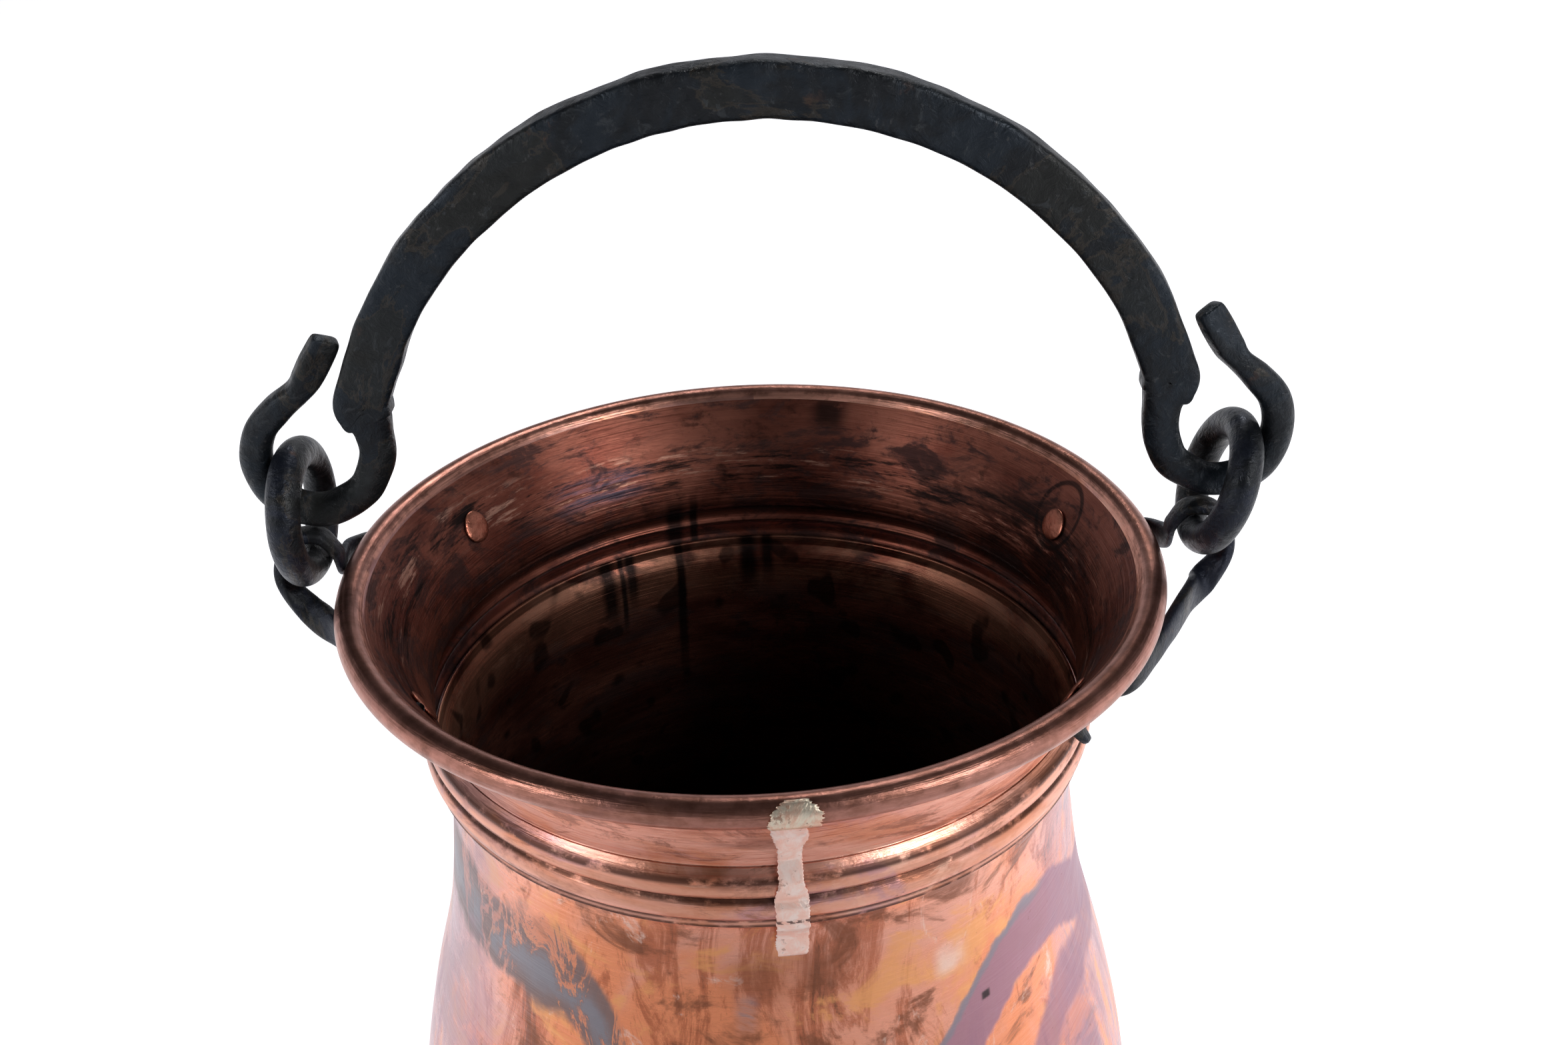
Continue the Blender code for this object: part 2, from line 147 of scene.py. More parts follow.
# %% A grid of points becomes a piece
def grid_mesh(name, points, rows_closed=False):
    """Quads between neighbours of a (rows, columns, 3) array in millimetres, columns wrapping
    round. Open ends get a fan to the middle of their row. A negative signed volume, the sum of
    each face's centre dotted with its area vector, means the faces point in, and they are
    turned over."""
    rows, cols = points.shape[:2]
    index = np.arange(rows * cols).reshape(rows, cols)
    upper = index if rows_closed else index[:-1]
    lower = np.roll(index, -1, 0) if rows_closed else index[1:]
    quads = np.stack([upper, np.roll(upper, -1, 1), np.roll(lower, -1, 1), lower], -1)
    quads = quads.reshape(-1, 4)
    verts = points.reshape(-1, 3)
    fans = np.zeros((0, 3), int)
    if not rows_closed:
        ends = np.stack([points[0].mean(0), points[-1].mean(0)])
        verts = np.concatenate([verts, ends])
        first, last = index[0], index[-1]
        fans = np.concatenate([
            np.stack([np.roll(first, -1), first, np.full(cols, rows * cols)], -1),
            np.stack([last, np.roll(last, -1), np.full(cols, rows * cols + 1)], -1)])
    a, b, c, d = (verts[quads[:, k]] for k in range(4))
    volume = (np.cross(c - a, d - b) * (a + b + c + d)).sum()
    if volume < 0:
        quads, fans = quads[:, ::-1], fans[:, ::-1]
    mesh = bpy.data.meshes.new(name)
    mesh.vertices.add(len(verts))
    mesh.vertices.foreach_set("co", (verts * MM).astype(np.float32).ravel())
    loops = np.concatenate([quads.ravel(), fans.ravel()]).astype(np.int32)
    mesh.loops.add(len(loops))
    mesh.loops.foreach_set("vertex_index", loops)
    starts = np.concatenate([np.arange(len(quads)) * 4,
                             4 * len(quads) + np.arange(len(fans)) * 3]).astype(np.int32)
    mesh.polygons.add(len(starts))
    mesh.polygons.foreach_set("loop_start", starts)
    mesh.update(calc_edges=True)
    mesh.shade_smooth()
    return mesh


def add_piece(mesh, body, materials, slot_name, *nodes):
    """Links the mesh as a piece that rides on a body and stands for CAD nodes."""
    piece = new_object(mesh.name, mesh)
    for material in materials:
        mesh.materials.append(material)
    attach(piece, body)
    if nodes:
        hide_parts(*nodes)
    print(f"{piece.name}: {len(mesh.loops) - 2 * len(mesh.polygons)} triangles")


def curve_through(points, count):
    """Catmull-Rom: count points on the smooth curve that passes through every given row; each
    span is a cubic whose slope at a point is half the step between its two neighbours."""
    points = np.asarray(points, float)
    place = np.linspace(0, len(points) - 1, count)
    span = np.minimum(place.astype(int), len(points) - 2)
    t = (place - span)[:, None]
    a, b, c, d = (points[np.clip(span + k, 0, len(points) - 1)] for k in (-1, 0, 1, 2))
    return (2 * b + (c - a) * t + (2 * a - 5 * b + 4 * c - d) * t ** 2
            + (3 * b - a - 3 * c + d) * t ** 3) / 2


def ripple(points, size, seed, waves=16):
    """A smooth random number from about -1 to 1 at each point: the mean of sine waves of one
    length in random directions, so a hand-made surface is never quite true."""
    dice = np.random.default_rng(seed)
    ways = dice.normal(size=(3, waves))
    ways *= 2 * math.pi / size / np.linalg.norm(ways, axis=0)
    return np.sin(points @ ways + dice.uniform(0, 2 * math.pi, waves)).sum(-1) / waves ** 0.5


def smoothstep(value, low, high):
    """0 below low, 1 above high, and the cubic 3t2 - 2t3 between."""
    t = np.clip((value - low) / (high - low), 0, 1)
    return t * t * (3 - 2 * t)


print("helpers ready")

# %% [markdown]
# ## Shader maths written as Python
# A material is a graph of nodes. This small class wraps one socket, so that `a * 2 + b` adds the
# Math nodes for it, and one method adds any other node: its settings first, then its inputs.
# A Paint is a colour that later coats are laid over.

# %% The socket class
class Value:
    """An output socket of a material's node tree, with arithmetic."""

    def __init__(self, tree, socket):
        self.tree, self.socket = tree, socket

    def node(self, kind, settings=None, inputs=None, out=0):
        """Adds a node, applies its settings, fills its sockets, and returns one output."""
        made = self.tree.nodes.new(kind)
        for name, value in (settings or {}).items():
            setattr(made, name, value)
        for key, value in (inputs or {}).items():
            if isinstance(value, Value):
                self.tree.links.new(value.socket, made.inputs[key])
            else:
                made.inputs[key].default_value = value
        return Value(self.tree, made.outputs[out])

    def math(self, operation, *others):
        """A Math node on this value and others."""
        numbers = dict(enumerate((self, *others)))
        return self.node("ShaderNodeMath", {"operation": operation}, numbers)

    def __add__(self, other):
        return self.math("ADD", other)

    def __sub__(self, other):
        return self.math("SUBTRACT", other)

    def __mul__(self, other):
        return self.math("MULTIPLY", other)

    def __rsub__(self, other):
        return (self * -1.0) + other

    __radd__, __rmul__ = __add__, __mul__

    def smooth(self, low, high):
        """0 to 1 between two values, by smoothstep."""
        inputs = {0: self, 1: low, 2: high, 3: 0.0, 4: 1.0}
        return self.node("ShaderNodeMapRange", {"interpolation_type": "SMOOTHSTEP"}, inputs)

    def near(self, centre, half, soft=0.5):
        """1 within a distance of centre, falling to 0 over soft times the half width."""
        return 1.0 - (self - centre).math("ABSOLUTE").smooth(half * (1 - soft), half * (1 + soft))

    def near_any(self, *lines):
        """The sum of near over several lines, each given as (centre, half, soft)."""
        total = self.near(*lines[0])
        for line in lines[1:]:
            total = total + self.near(*line)
        return total


def blend_colour(share, one, other):
    """Colour one where share is 0 and colour other where it is 1. Plain numbers are red, green
    and blue, and get an alpha of 1."""
    settings = {"data_type": "RGBA", "clamp_factor": True}
    one, other = (c if isinstance(c, Value) else (*c, 1) for c in (one, other))
    return share.node("ShaderNodeMix", settings, {0: share, 6: one, 7: other}, out=2)


class Paint:
    """A colour built up in coats."""

    def __init__(self, share, one, other):
        self.colour = blend_colour(share, one, other)

    def coat(self, share, other):
        """Lays another colour over what is there, as thickly as share says."""
        self.colour = blend_colour(share, self.colour, other)


def new_metal(name):
    """A material with its Principled shader, its Object coordinates, and their three parts."""
    made = bpy.data.materials.new(name)
    made.use_nodes = True
    tree = made.node_tree
    shader = tree.nodes["Principled BSDF"]
    place = Value(tree, tree.nodes.new("ShaderNodeTexCoord").outputs["Object"])
    parts = tree.nodes.new("ShaderNodeSeparateXYZ")
    tree.links.new(place.socket, parts.inputs[0])
    return made, shader, place, [Value(tree, s) for s in parts.outputs]


def noise(place, scale, stretch=(1, 1, 1), detail=4.0, rough=0.55, warp=0.0, shift=(0, 0, 0)):
    """Fractal noise on a stretched copy of the coordinates, as a number round 0.5."""
    mapped = place.node("ShaderNodeMapping", {}, {"Vector": place, "Scale": stretch,
                                                  "Location": shift})
    return place.node("ShaderNodeTexNoise", {}, {
        "Vector": mapped, "Scale": scale, "Detail": detail, "Roughness": rough,
        "Distortion": warp})


def finish_metal(shader, colour, rough, metallic, height, depth):
    """Joins the graph to the shader, with a Bump of that depth in metres."""
    tree = colour.tree
    for name, value in (("Base Color", colour), ("Roughness", rough), ("Metallic", metallic)):
        if isinstance(value, Value):
            tree.links.new(value.socket, shader.inputs[name])
        else:
            shader.inputs[name].default_value = value
    bump = height.node("ShaderNodeBump", {}, {"Height": height, "Distance": depth,
                                              "Strength": 1.0})
    tree.links.new(bump.socket, shader.inputs["Normal"])


print("shader helpers ready")

# %% [markdown]
# ## Copper outside
# Polished copper is orange-pink. Heat and damp have drawn brown and violet oxide bands across
# it, which are slightly rougher and less metallic, with a blue-grey core. Position is read as
# the angle from the front, in degrees, and the height in millimetres, so that a band can be
# placed by where it lies on the bowl. Noise breaks every edge.

# %% Position on a round body
def round_place(parts, back=False):
    """The angle in degrees from the front (or the back), growing to the right, and the height
    in millimetres."""
    x, y, z = parts
    facing = y if back else y * -1.0
    return x.math("ARCTAN2", facing) * (180 / math.pi), z * 1000.0


def streaks(place, fine=1.0):
    """Fine level scratches from the spinning lathe: noise stretched round the body."""
    long = noise(place, 9.0, (1, 1, 70 * fine), detail=5.0, rough=0.7)
    short = noise(place, 45.0, (1, 1, 22 * fine), detail=3.0, rough=0.6, shift=(3, 1, 2))
    return long, short


ORANGE, GOLD = (0.90, 0.32, 0.16), (0.93, 0.42, 0.17)
PINK, PALE = (0.88, 0.42, 0.31), (0.96, 0.68, 0.57)
BROWN, DARK = (0.25, 0.095, 0.055), (0.055, 0.022, 0.016)
VIOLET, GREY = (0.40, 0.21, 0.28), (0.22, 0.155, 0.15)
BLUE, SOOT = (0.27, 0.265, 0.30), (0.012, 0.009, 0.009)
print("copper colours ready")

# %% Copper for the bowl's outside
def bowl_copper():
    """Orange and pink patches under oxide bands that fall towards the front, with a painted
    lavender reflection at the sides.
    """
    made, shader, place, parts = new_metal("bowl_copper")
    angle, height = round_place(parts)
    wide = noise(place, 14.0, (1, 1, 1.2), detail=5.0, warp=0.6)
    cloud = noise(place, 34.0, (1, 1, 1.3), detail=6.0, rough=0.62, warp=0.8, shift=(5, 2, 1))
    edge = (noise(place, 60.0, detail=5.0, shift=(1, 7, 3)) - 0.5) * 2.0
    long, short = streaks(place)
    smear = noise(place, 26.0, (2.2, 2.2, 0.7), detail=7.0, rough=0.72, warp=1.2, shift=(4, 9, 2))
    paint = Paint(wide.smooth(0.46, 0.66), ORANGE, PINK)
    paint.coat(smear.smooth(0.50, 0.60) * 0.8, (0.50, 0.15, 0.075))
    paint.coat(smear.smooth(0.60, 0.68) * 0.8, (0.20, 0.085, 0.055))
    paint.coat(cloud.smooth(0.53, 0.66) * 0.85, GOLD)
    paint.coat((1.0 - cloud.smooth(0.38, 0.49)) * 0.85, BROWN)
    pale = noise(place, 30.0, (1.6, 1.6, 1), detail=6.0, rough=0.7, warp=1.4, shift=(2, 8, 8))
    paint.coat(pale.smooth(0.58, 0.68) * 0.7, PALE)
    # Painted reflection with a violet oxide tint: a lavender sheen on the bowl's sides, where it is
    # seen at a glancing angle.
    sides = angle.math("ABSOLUTE").smooth(44.0, 74.0) * smear.smooth(0.40, 0.52)
    paint.coat(sides * 0.65, (0.52, 0.32, 0.40))
    shade = angle.smooth(-34.0, -62.0) * cloud.smooth(0.36, 0.56)
    paint.coat(shade * 0.7, (0.36, 0.23, 0.26))
    left_line = 187.0 - angle.smooth(-36.0, -6.0) * 62.0 + edge * 9.0
    left_band = (height - left_line).near(0.0, 13.5, 0.22) * (1.0 - angle.smooth(-14.0, 2.0))
    left_band = left_band * angle.smooth(-110.0, -62.0)
    tear = 1.0 - smear.near(0.44, 0.035, 0.6) * 0.75
    paint.coat(left_band * tear * 0.94, GREY)
    core = (height - left_line).near(-2.0, 5.5, 0.8) * left_band * smear.smooth(0.42, 0.56)
    paint.coat(core * 0.8, BLUE)
    right_line = 140.0 + angle.smooth(16.0, 52.0) * 40.0 - angle.smooth(58.0, 80.0) * 16.0
    off = height - right_line + edge * 5.0
    right_band = off.near(0.0, 11.0, 0.12) * angle.smooth(14.0, 24.0)
    right_band = right_band * (1.0 - angle.smooth(88.0, 120.0))
    paint.coat(right_band * 0.92, VIOLET)
    rim_line = off.near(10.0, 1.6, 0.6) * angle.smooth(20.0, 26.0)
    rim_line = rim_line * (1.0 - angle.smooth(52.0, 60.0))
    paint.coat(rim_line * 0.75, BLUE)
    second = height - (104.0 + angle.smooth(30.0, 62.0) * 46.0) + edge * 6.0
    second = second.near(0.0, 9.0, 0.3) * angle.smooth(30.0, 42.0)
    paint.coat(second * 0.8, VIOLET)
    grain = noise(place, 9.0, (1.6, 1.6, 0.8), detail=6.0, rough=0.6, warp=1.6, shift=(9, 4, 6))
    far = 1.0 - angle.near(0.0, 62.0, 0.3)
    lower = 1.0 - height.smooth(120.0, 160.0)
    elsewhere = far.math("MAXIMUM", lower) * grain.smooth(0.50, 0.60)
    paint.coat(elsewhere * 0.75, VIOLET)
    seam_smudge = angle.near(5.0, 9.0, 0.7) * height.near(199.0, 7.0, 0.8) * edge.smooth(-0.7, 0.5)
    paint.coat(seam_smudge * 0.75, BROWN)
    spots = angle.near(-2.2, 1.6, 0.7) * height.near(186.0, 6.0, 0.6) * cloud.smooth(0.4, 0.55)
    paint.coat(spots * 0.8, BLUE)
    # Painted highlight: a small pale patch on the right of the front.
    pale_highlight = angle.near(33.0, 3.0, 0.5) * height.near(190.5, 5.0, 0.5) * edge.smooth(-0.5, 0.3)
    paint.coat(pale_highlight * 0.85, PALE)
    dot = angle.near(39.4, 0.9, 0.4) * height.near(171.0, 1.3, 0.4)
    paint.coat(dot * 0.9, SOOT)
    oxide = left_band.math("MAXIMUM", right_band).math("MAXIMUM", second)
    oxide = oxide.math("MAXIMUM", elsewhere * 0.8)
    fleck = noise(place, 420.0, detail=3.0, rough=0.7, shift=(2, 2, 9)).smooth(0.66, 0.74)
    paint.coat(fleck * 0.35, BROWN)
    rough = 0.27 + oxide * 0.12 + (cloud - 0.5) * 0.25 + (long - 0.5) * 0.20 + fleck * 0.15
    metallic = 1.0 - oxide * 0.25
    bump = long * 0.35 + short * 0.35 + oxide * 0.12 + cloud * 0.45 + smear * 0.30
    finish_metal(shader, paint.colour, rough, metallic, bump, 0.00050)
    return made


bowl_metal = bowl_copper()
print("bowl copper:", len(bowl_metal.node_tree.nodes), "nodes")

# %% [markdown]
# ## Copper inside
# Nobody polishes the inside. It is dark red-brown, with level scratches, a smudged band half way
# up the flare, black drips under the edge of the collar, and a worn bright line where the two
# sheets meet, with grains of pale solder on the right. Painted shade makes the bowl almost black
# low down, and a painted reflection lightens it just below the joint.

# %% Copper for the inside
def inside_copper(name, on_collar):
    """Dark brown copper, with the marks that belong to the collar or to the bowl."""
    made, shader, place, parts = new_metal(name)
    angle, height = round_place(parts, back=True)
    cloud = noise(place, 22.0, (1, 1, 2.2), detail=6.0, rough=0.62, warp=0.5)
    fine = noise(place, 120.0, (1, 1, 1.5), detail=5.0, rough=0.65, shift=(4, 4, 1))
    long, short = streaks(place, 1.3)
    red, tan = (0.17, 0.049, 0.033), (0.33, 0.118, 0.080)
    paint = Paint(cloud.smooth(0.35, 0.66), red, tan)
    paint.coat((1.0 - fine.smooth(0.30, 0.46)) * 0.7, DARK)
    drift = (noise(place, 16.0, detail=4.0, shift=(8, 1, 1)) - 0.5) * 2.0
    soil = noise(place, 38.0, (1, 1, 2.6), detail=7.0, rough=0.72, warp=0.6, shift=(1, 5, 8))
    paint.coat(soil.smooth(0.47, 0.60) * 0.80, (0.050, 0.030, 0.030))
    if on_collar:
        middle = 251.0 + angle.smooth(-30.0, -70.0) * 11.0 + angle.smooth(35.0, 80.0) * 2.0
        band = (height - middle + drift * 4.0).near(0.0, 6.5, 0.5)
        worn = noise(place, 30.0, (1, 1, 9.0), detail=6.0, rough=0.75, shift=(2, 6, 1))
        paint.coat(band * worn.smooth(0.50, 0.60) * 0.9, SOOT)
        bright = band * (1.0 - worn.smooth(0.34, 0.44))
        paint.coat(bright * 0.75, (0.62, 0.34, 0.25))
        tint = angle.near(-33.0, 9.0, 0.6) * height.near(251.0, 4.5, 0.7)
        paint.coat(tint * worn.smooth(0.4, 0.55) * 0.35, (0.16, 0.13, 0.19))
        right_dark = angle.near(66.0, 22.0, 0.6) * height.near(250.0, 12.0, 0.6)
        paint.coat(right_dark * worn.smooth(0.38, 0.5) * 0.75, SOOT)
        smut = angle.near(14.0, 3.0, 0.6) * height.near(268.0, 4.5, 0.7) * fine.smooth(0.35, 0.5)
        paint.coat(smut * 0.85, SOOT)
        aside, over = angle - 68.4, height - 260.8
        pad = (aside * aside * 3.1 + over * over).math("SQRT").near(9.6, 0.7, 0.5)
        paint.coat(pad * fine.smooth(0.36, 0.5) * 0.8, SOOT)
        groove = height.near_any((235.0, 0.9, 0.6), (229.4, 0.8, 0.6), (222.9, 0.8, 0.6))
        paint.coat(groove * 0.55, SOOT)
        edge = (1.0 - height.smooth(220.6, 222.2)) * (1.0 - angle.near(40.0, 30.0, 0.5) * 0.6)
        paint.coat(edge * fine.smooth(0.35, 0.55) * 0.9, PINK)
        solder = angle.near(62.0, 32.0, 0.25) * (1.0 - height.smooth(220.8, 222.6))
        solder = solder * noise(place, 300.0, detail=2.0, shift=(1, 1, 7)).smooth(0.56, 0.62)
        paint.coat(solder, (0.62, 0.64, 0.52))
        drips = angle.near_any((-17.5, 1.7, 0.5), (-13.5, 0.8, 0.5))
        drips = drips * (1.0 - height.smooth(236.0, 246.0))
    else:
        # Painted shade: the bowl gets darker towards the bottom, where little light reaches.
        low = 1.0 - height.smooth(60.0, 205.0)
        paint.coat(low * 0.8, DARK)
        # Painted reflection: a lighter band on the bowl just below where it meets the collar.
        painted_reflection_band = height.smooth(196.0, 214.0) * cloud.smooth(0.36, 0.55)
        paint.coat(painted_reflection_band * 0.5, (0.50, 0.24, 0.15))
        wavy = angle + drift * 1.2
        drips = wavy.near(-17.6, 0.9, 0.5) * height.smooth(150.0, 196.0)
        for where, half, down in ((-34.0, 1.6, 200.0), (-28.5, 1.1, 206.0), (-30.6, 0.6, 196.0),
                                  (-2.8, 1.8, 205.0), (1.4, 1.2, 209.0)):
            drips = drips + wavy.near(where, half, 0.6) * height.smooth(down - 6, down + 8)
        dints = noise(place, 95.0, (1, 1, 0.8), detail=1.0, rough=0.3, shift=(6, 6, 6))
        paint.coat(dints.smooth(0.62, 0.70) * 0.7, SOOT)
    paint.coat(drips * 0.9, SOOT)
    scratch = long.smooth(0.60, 0.72)
    paint.coat(scratch * 0.30, tan)
    rough = 0.40 + (cloud - 0.5) * 0.3 + (long - 0.5) * 0.25 + soil.smooth(0.5, 0.6) * 0.15
    bump = long * 0.5 + short * 0.35 + fine * 0.3
    finish_metal(shader, paint.colour, rough, 0.92, bump, 0.00035)
    return made


collar_inside = inside_copper("collar_copper_inside", True)
bowl_inside = inside_copper("bowl_copper_inside", False)
print("inside copper:", len(collar_inside.node_tree.nodes), "nodes")

# %% [markdown]
# ## The collar's outside
# The cove and the turned beads below it are handled every day, so their ridges are bright and
# the dirt lies in the grooves; the dark line at the collar's lower edge is painted shadow. The
# rolled rim is browner, with painted highlights: a pink line along its inner edge and a pale line
# under the bead. The left side gets painted shade.

# %% Copper for the collar's outside
def collar_copper():
    """Pink copper with bright ridges, dark grooves, violet smudges and a browner bead, with painted
    shade on the left, a painted shadow at the lower edge and painted highlights on the bead.
    """
    made, shader, place, parts = new_metal("collar_copper")
    angle, height = round_place(parts)
    x, y, _ = parts
    radius = (x * x + y * y).math("SQRT") * 1000.0
    cloud = noise(place, 30.0, (1, 1, 2.4), detail=6.0, rough=0.6, warp=0.7)
    patch = noise(place, 17.0, (1, 1, 2.0), detail=5.0, rough=0.6, warp=1.0, shift=(3, 8, 5))
    fine = noise(place, 150.0, (1, 1, 1.6), detail=4.0, rough=0.65, shift=(4, 2, 8))
    long, short = streaks(place)
    paint = Paint(cloud.smooth(0.36, 0.58), (0.74, 0.30, 0.18), (0.90, 0.45, 0.34))
    paint.coat(patch.smooth(0.56, 0.67) * 0.7, (0.36, 0.16, 0.12))
    paint.coat((1.0 - patch.smooth(0.36, 0.46)) * 0.6, (0.55, 0.31, 0.36))
    smear = noise(place, 24.0, (1, 1, 3.4), detail=7.0, rough=0.74, warp=0.9, shift=(7, 7, 1))
    paint.coat(smear.smooth(0.52, 0.62) * 0.75, (0.33, 0.13, 0.085))
    paint.coat((1.0 - smear.smooth(0.36, 0.45)) * 0.6, (0.95, 0.56, 0.42))
    # Painted shade: the left side, away from the window, is darkened.
    left = angle.smooth(-22.0, -56.0) * cloud.smooth(0.34, 0.56)
    paint.coat(left * 0.7, (0.30, 0.155, 0.145))
    # The three grooves hold dirt; the fourth dark line, at the collar's lower edge, is painted
    # shadow where the collar steps out over the bowl.
    grooves = height.near_any((235.4, 1.0, 0.6), (229.6, 0.9, 0.6), (222.8, 0.8, 0.6),
                              (220.6, 0.7, 0.6))
    paint.coat(grooves * fine.smooth(0.28, 0.5) * 0.85, DARK)
    ridges = height.near_any((232.5, 0.9, 0.8), (226.2, 1.0, 0.8))
    paint.coat(ridges * fine.smooth(0.3, 0.55) * 0.6, (0.90, 0.44, 0.30))
    bead = radius.smooth(111.6, 112.6)
    brown = blend_colour(fine.smooth(0.35, 0.65), (0.29, 0.125, 0.09), (0.45, 0.205, 0.16))
    paint.coat(bead * 0.9, brown)
    # Painted highlight: a pink line along the bead's inner top edge.
    worn = radius.near(112.4, 0.7, 0.6) * height.smooth(271.0, 273.0)
    paint.coat(worn * fine.smooth(0.3, 0.6) * 0.7, PINK)
    stain = noise(place, 26.0, detail=6.0, rough=0.65, shift=(6, 3, 3)).smooth(0.60, 0.68)
    paint.coat(stain * bead * 0.7, DARK)
    # Painted highlight: a pale line on the curl's underside, where the bead faces the bright floor.
    under = height.near(267.2, 0.8, 0.5) * radius.near(112.5, 2.0, 0.5)
    paint.coat(under * 0.8, PALE)
    rough = 0.33 + (cloud - 0.5) * 0.25 + (long - 0.5) * 0.2 + grooves * 0.15
    bump = long * 0.35 + short * 0.35 + fine * 0.40 + cloud * 0.40
    finish_metal(shader, paint.colour, rough, 0.97, bump, 0.00045)
    return made


collar_metal = collar_copper()
print("collar copper:", len(collar_metal.node_tree.nodes), "nodes")

# %% [markdown]
# ## Seam strip and rivets
# The strip over the collar's seam was brazed on later. It is a paler, pinker copper, scratched
# and pitted, with solder at its ends. The rivets are soft red copper, flattened by the hammer.

# %% Copper for the strip and the rivets
def patch_copper(name, light, mid, dark_share, metallic):
    """Mottled copper between two colours, with dark pits and a grainy skin."""
    made, shader, place, parts = new_metal(name)
    height = parts[2] * 1000.0
    cloud = noise(place, 160.0, detail=6.0, rough=0.7, warp=0.5)
    pits = noise(place, 520.0, detail=3.0, rough=0.6, shift=(2, 5, 5))
    paint = Paint(cloud.smooth(0.40, 0.60), light, mid)
    paint.coat(pits.smooth(0.60, 0.70) * dark_share, BROWN)
    row = height.near(223.2, 0.8, 0.4) * noise(place, 600.0, detail=1.0).smooth(0.46, 0.54)
    paint.coat(row * 0.9, DARK)
    rough = 0.34 + (cloud - 0.5) * 0.3 + pits.smooth(0.6, 0.7) * 0.2
    finish_metal(shader, paint.colour, rough, metallic, cloud * 0.6 + pits * 0.4, 0.00045)
    return made


strip_metal = patch_copper("strip_copper", (1.0, 0.80, 0.72), (0.98, 0.62, 0.51), 0.45, 0.35)
solder_metal = patch_copper("solder", (0.86, 0.76, 0.60), (0.82, 0.50, 0.36), 0.7, 0.75)
rivet_metal = patch_copper("rivet_copper", (0.40, 0.14, 0.09), (0.55, 0.21, 0.14), 0.5, 0.95)
print("patch metals ready")

# %% [markdown]
# ## Forged iron
# Old iron keeps its black scale in map-like patches: blue-black, grey-olive and a little rust,
# each with a hard edge. The bail and rings are a touch glossier. The scale is less metallic than
# bare iron.

# %% Iron
def forged_iron(name, shine, blue):
    """Three scale colours split by warped noise, with pale flecks, a brown line along one edge,
    a little rust and fine pits."""
    made, shader, place, _ = new_metal(name)
    maps = noise(place, 26.0, detail=8.0, rough=0.68, warp=1.3)
    scale = noise(place, 210.0, detail=5.0, rough=0.7, warp=0.8, shift=(5, 6, 1))
    maps_two = noise(place, 15.0, detail=7.0, rough=0.62, warp=1.8, shift=(7, 1, 4))
    pits = noise(place, 330.0, detail=4.0, rough=0.65, shift=(3, 3, 3))
    grain = noise(place, 90.0, detail=5.0, rough=0.6, shift=(1, 9, 2))
    paint = Paint(maps.smooth(0.42, 0.56), (0.011, 0.013, 0.016),
                  (0.014 * blue, 0.020, 0.028 * blue))
    paint.coat(maps_two.smooth(0.52, 0.60) * 0.6, (0.022, 0.022, 0.019))
    paint.coat(scale.smooth(0.56, 0.68) * 0.55, (0.050, 0.056, 0.062))
    line = maps_two.near(0.56, 0.010, 0.6)
    paint.coat(line * 0.35, (0.07, 0.055, 0.04))
    rust = grain.smooth(0.64, 0.72) * maps.smooth(0.40, 0.55)
    paint.coat(rust * 0.5, (0.105, 0.050, 0.030))
    paint.coat(pits.smooth(0.62, 0.72) * 0.35, (0.10, 0.10, 0.10))
    rough = 0.47 - shine + (grain - 0.5) * 0.35 + (scale - 0.5) * 0.4
    finish_metal(shader, paint.colour, rough, 0.55, grain * 0.5 + pits * 0.3 + scale * 0.6, 0.0010)
    return made


bail_metal = forged_iron("bail_iron", 0.06, 1.0)
ring_metal = forged_iron("ring_iron", 0.08, 1.15)
ear_metal = forged_iron("ear_iron", 0.0, 1.2)
wire_metal = forged_iron("rim_wire_iron", 0.0, 1.0)
print("iron:", len(bail_metal.node_tree.nodes), "nodes")

# %% [markdown]
# ## The sheet's profile
# The collar and the bowl are both turned round the vertical axis. What is turned is a closed
# outline: the line down the middle of the sheet, moved half a thickness to either side, with
# round ends.

# %% A sheet round the axis
def sheet_outline(line, thickness):
    """The closed outline of a sheet: each point of the middle line moved along its normal by
    plus half the thickness, round the end, and back along minus half the thickness."""
    step = unit(np.gradient(line, axis=0))
    normal = np.stack([step[:, 1], -step[:, 0]], -1)
    half = thickness / 2
    turn = np.linspace(0, math.pi, 7)[1:-1, None]
    far = line[-1] + half * (np.cos(turn) * normal[-1] + np.sin(turn) * step[-1])
    near = line[0] - half * (np.cos(turn) * normal[0] + np.sin(turn) * step[0])
    return np.concatenate([line + half * normal, far, (line - half * normal)[::-1], near])


def even_line(line, count):
    """The same line with its points at equal distances."""
    far = run_length(line)
    at = np.linspace(0, far[-1], count)
    return np.stack([np.interp(at, far, line[:, k]) for k in range(line.shape[1])], -1)


def turned(outline):
    """Every outline point (radius, height) carried round Z: x = r cos a, y = r sin a."""
    around = circle(COLUMNS)
    radius, height = outline[:, 0, None], outline[:, 1, None]
    flat = np.ones_like(around)
    return np.stack([radius * np.cos(around), radius * np.sin(around), height * flat], -1)


def flare_radius(height):
    """The cove: radius = neck + spread times (height share) to the power 1.6."""
    share = np.clip((height - FLARE_BOTTOM) / (FLARE_TOP - FLARE_BOTTOM), 0, None)
    return FLARE_NECK + FLARE_SPREAD * share ** FLARE_POWER


def flare_slope(height):
    """How fast that radius grows with the height."""
    span = FLARE_TOP - FLARE_BOTTOM
    return FLARE_SPREAD * FLARE_POWER / span * ((height - FLARE_BOTTOM) / span) ** (FLARE_POWER - 1)


def push_out(points, amount):
    """Moves points away from the vertical axis by an amount of millimetres each."""
    radius = np.maximum(np.linalg.norm(points[..., :2], axis=-1), 1e-6)
    moved = points.copy()
    moved[..., :2] *= ((radius + amount) / radius)[..., None]
    return moved


print("neck radius at the first groove:", flare_radius(FLARE_BOTTOM))

# %% [markdown]
# ## The collar
# Its edge is rolled almost all the way round the wire, so the cut edge shows as a thin line under
# the bead. Below the cove a burr was run round three times on the lathe, which leaves two round
# ridges between three sharp grooves.

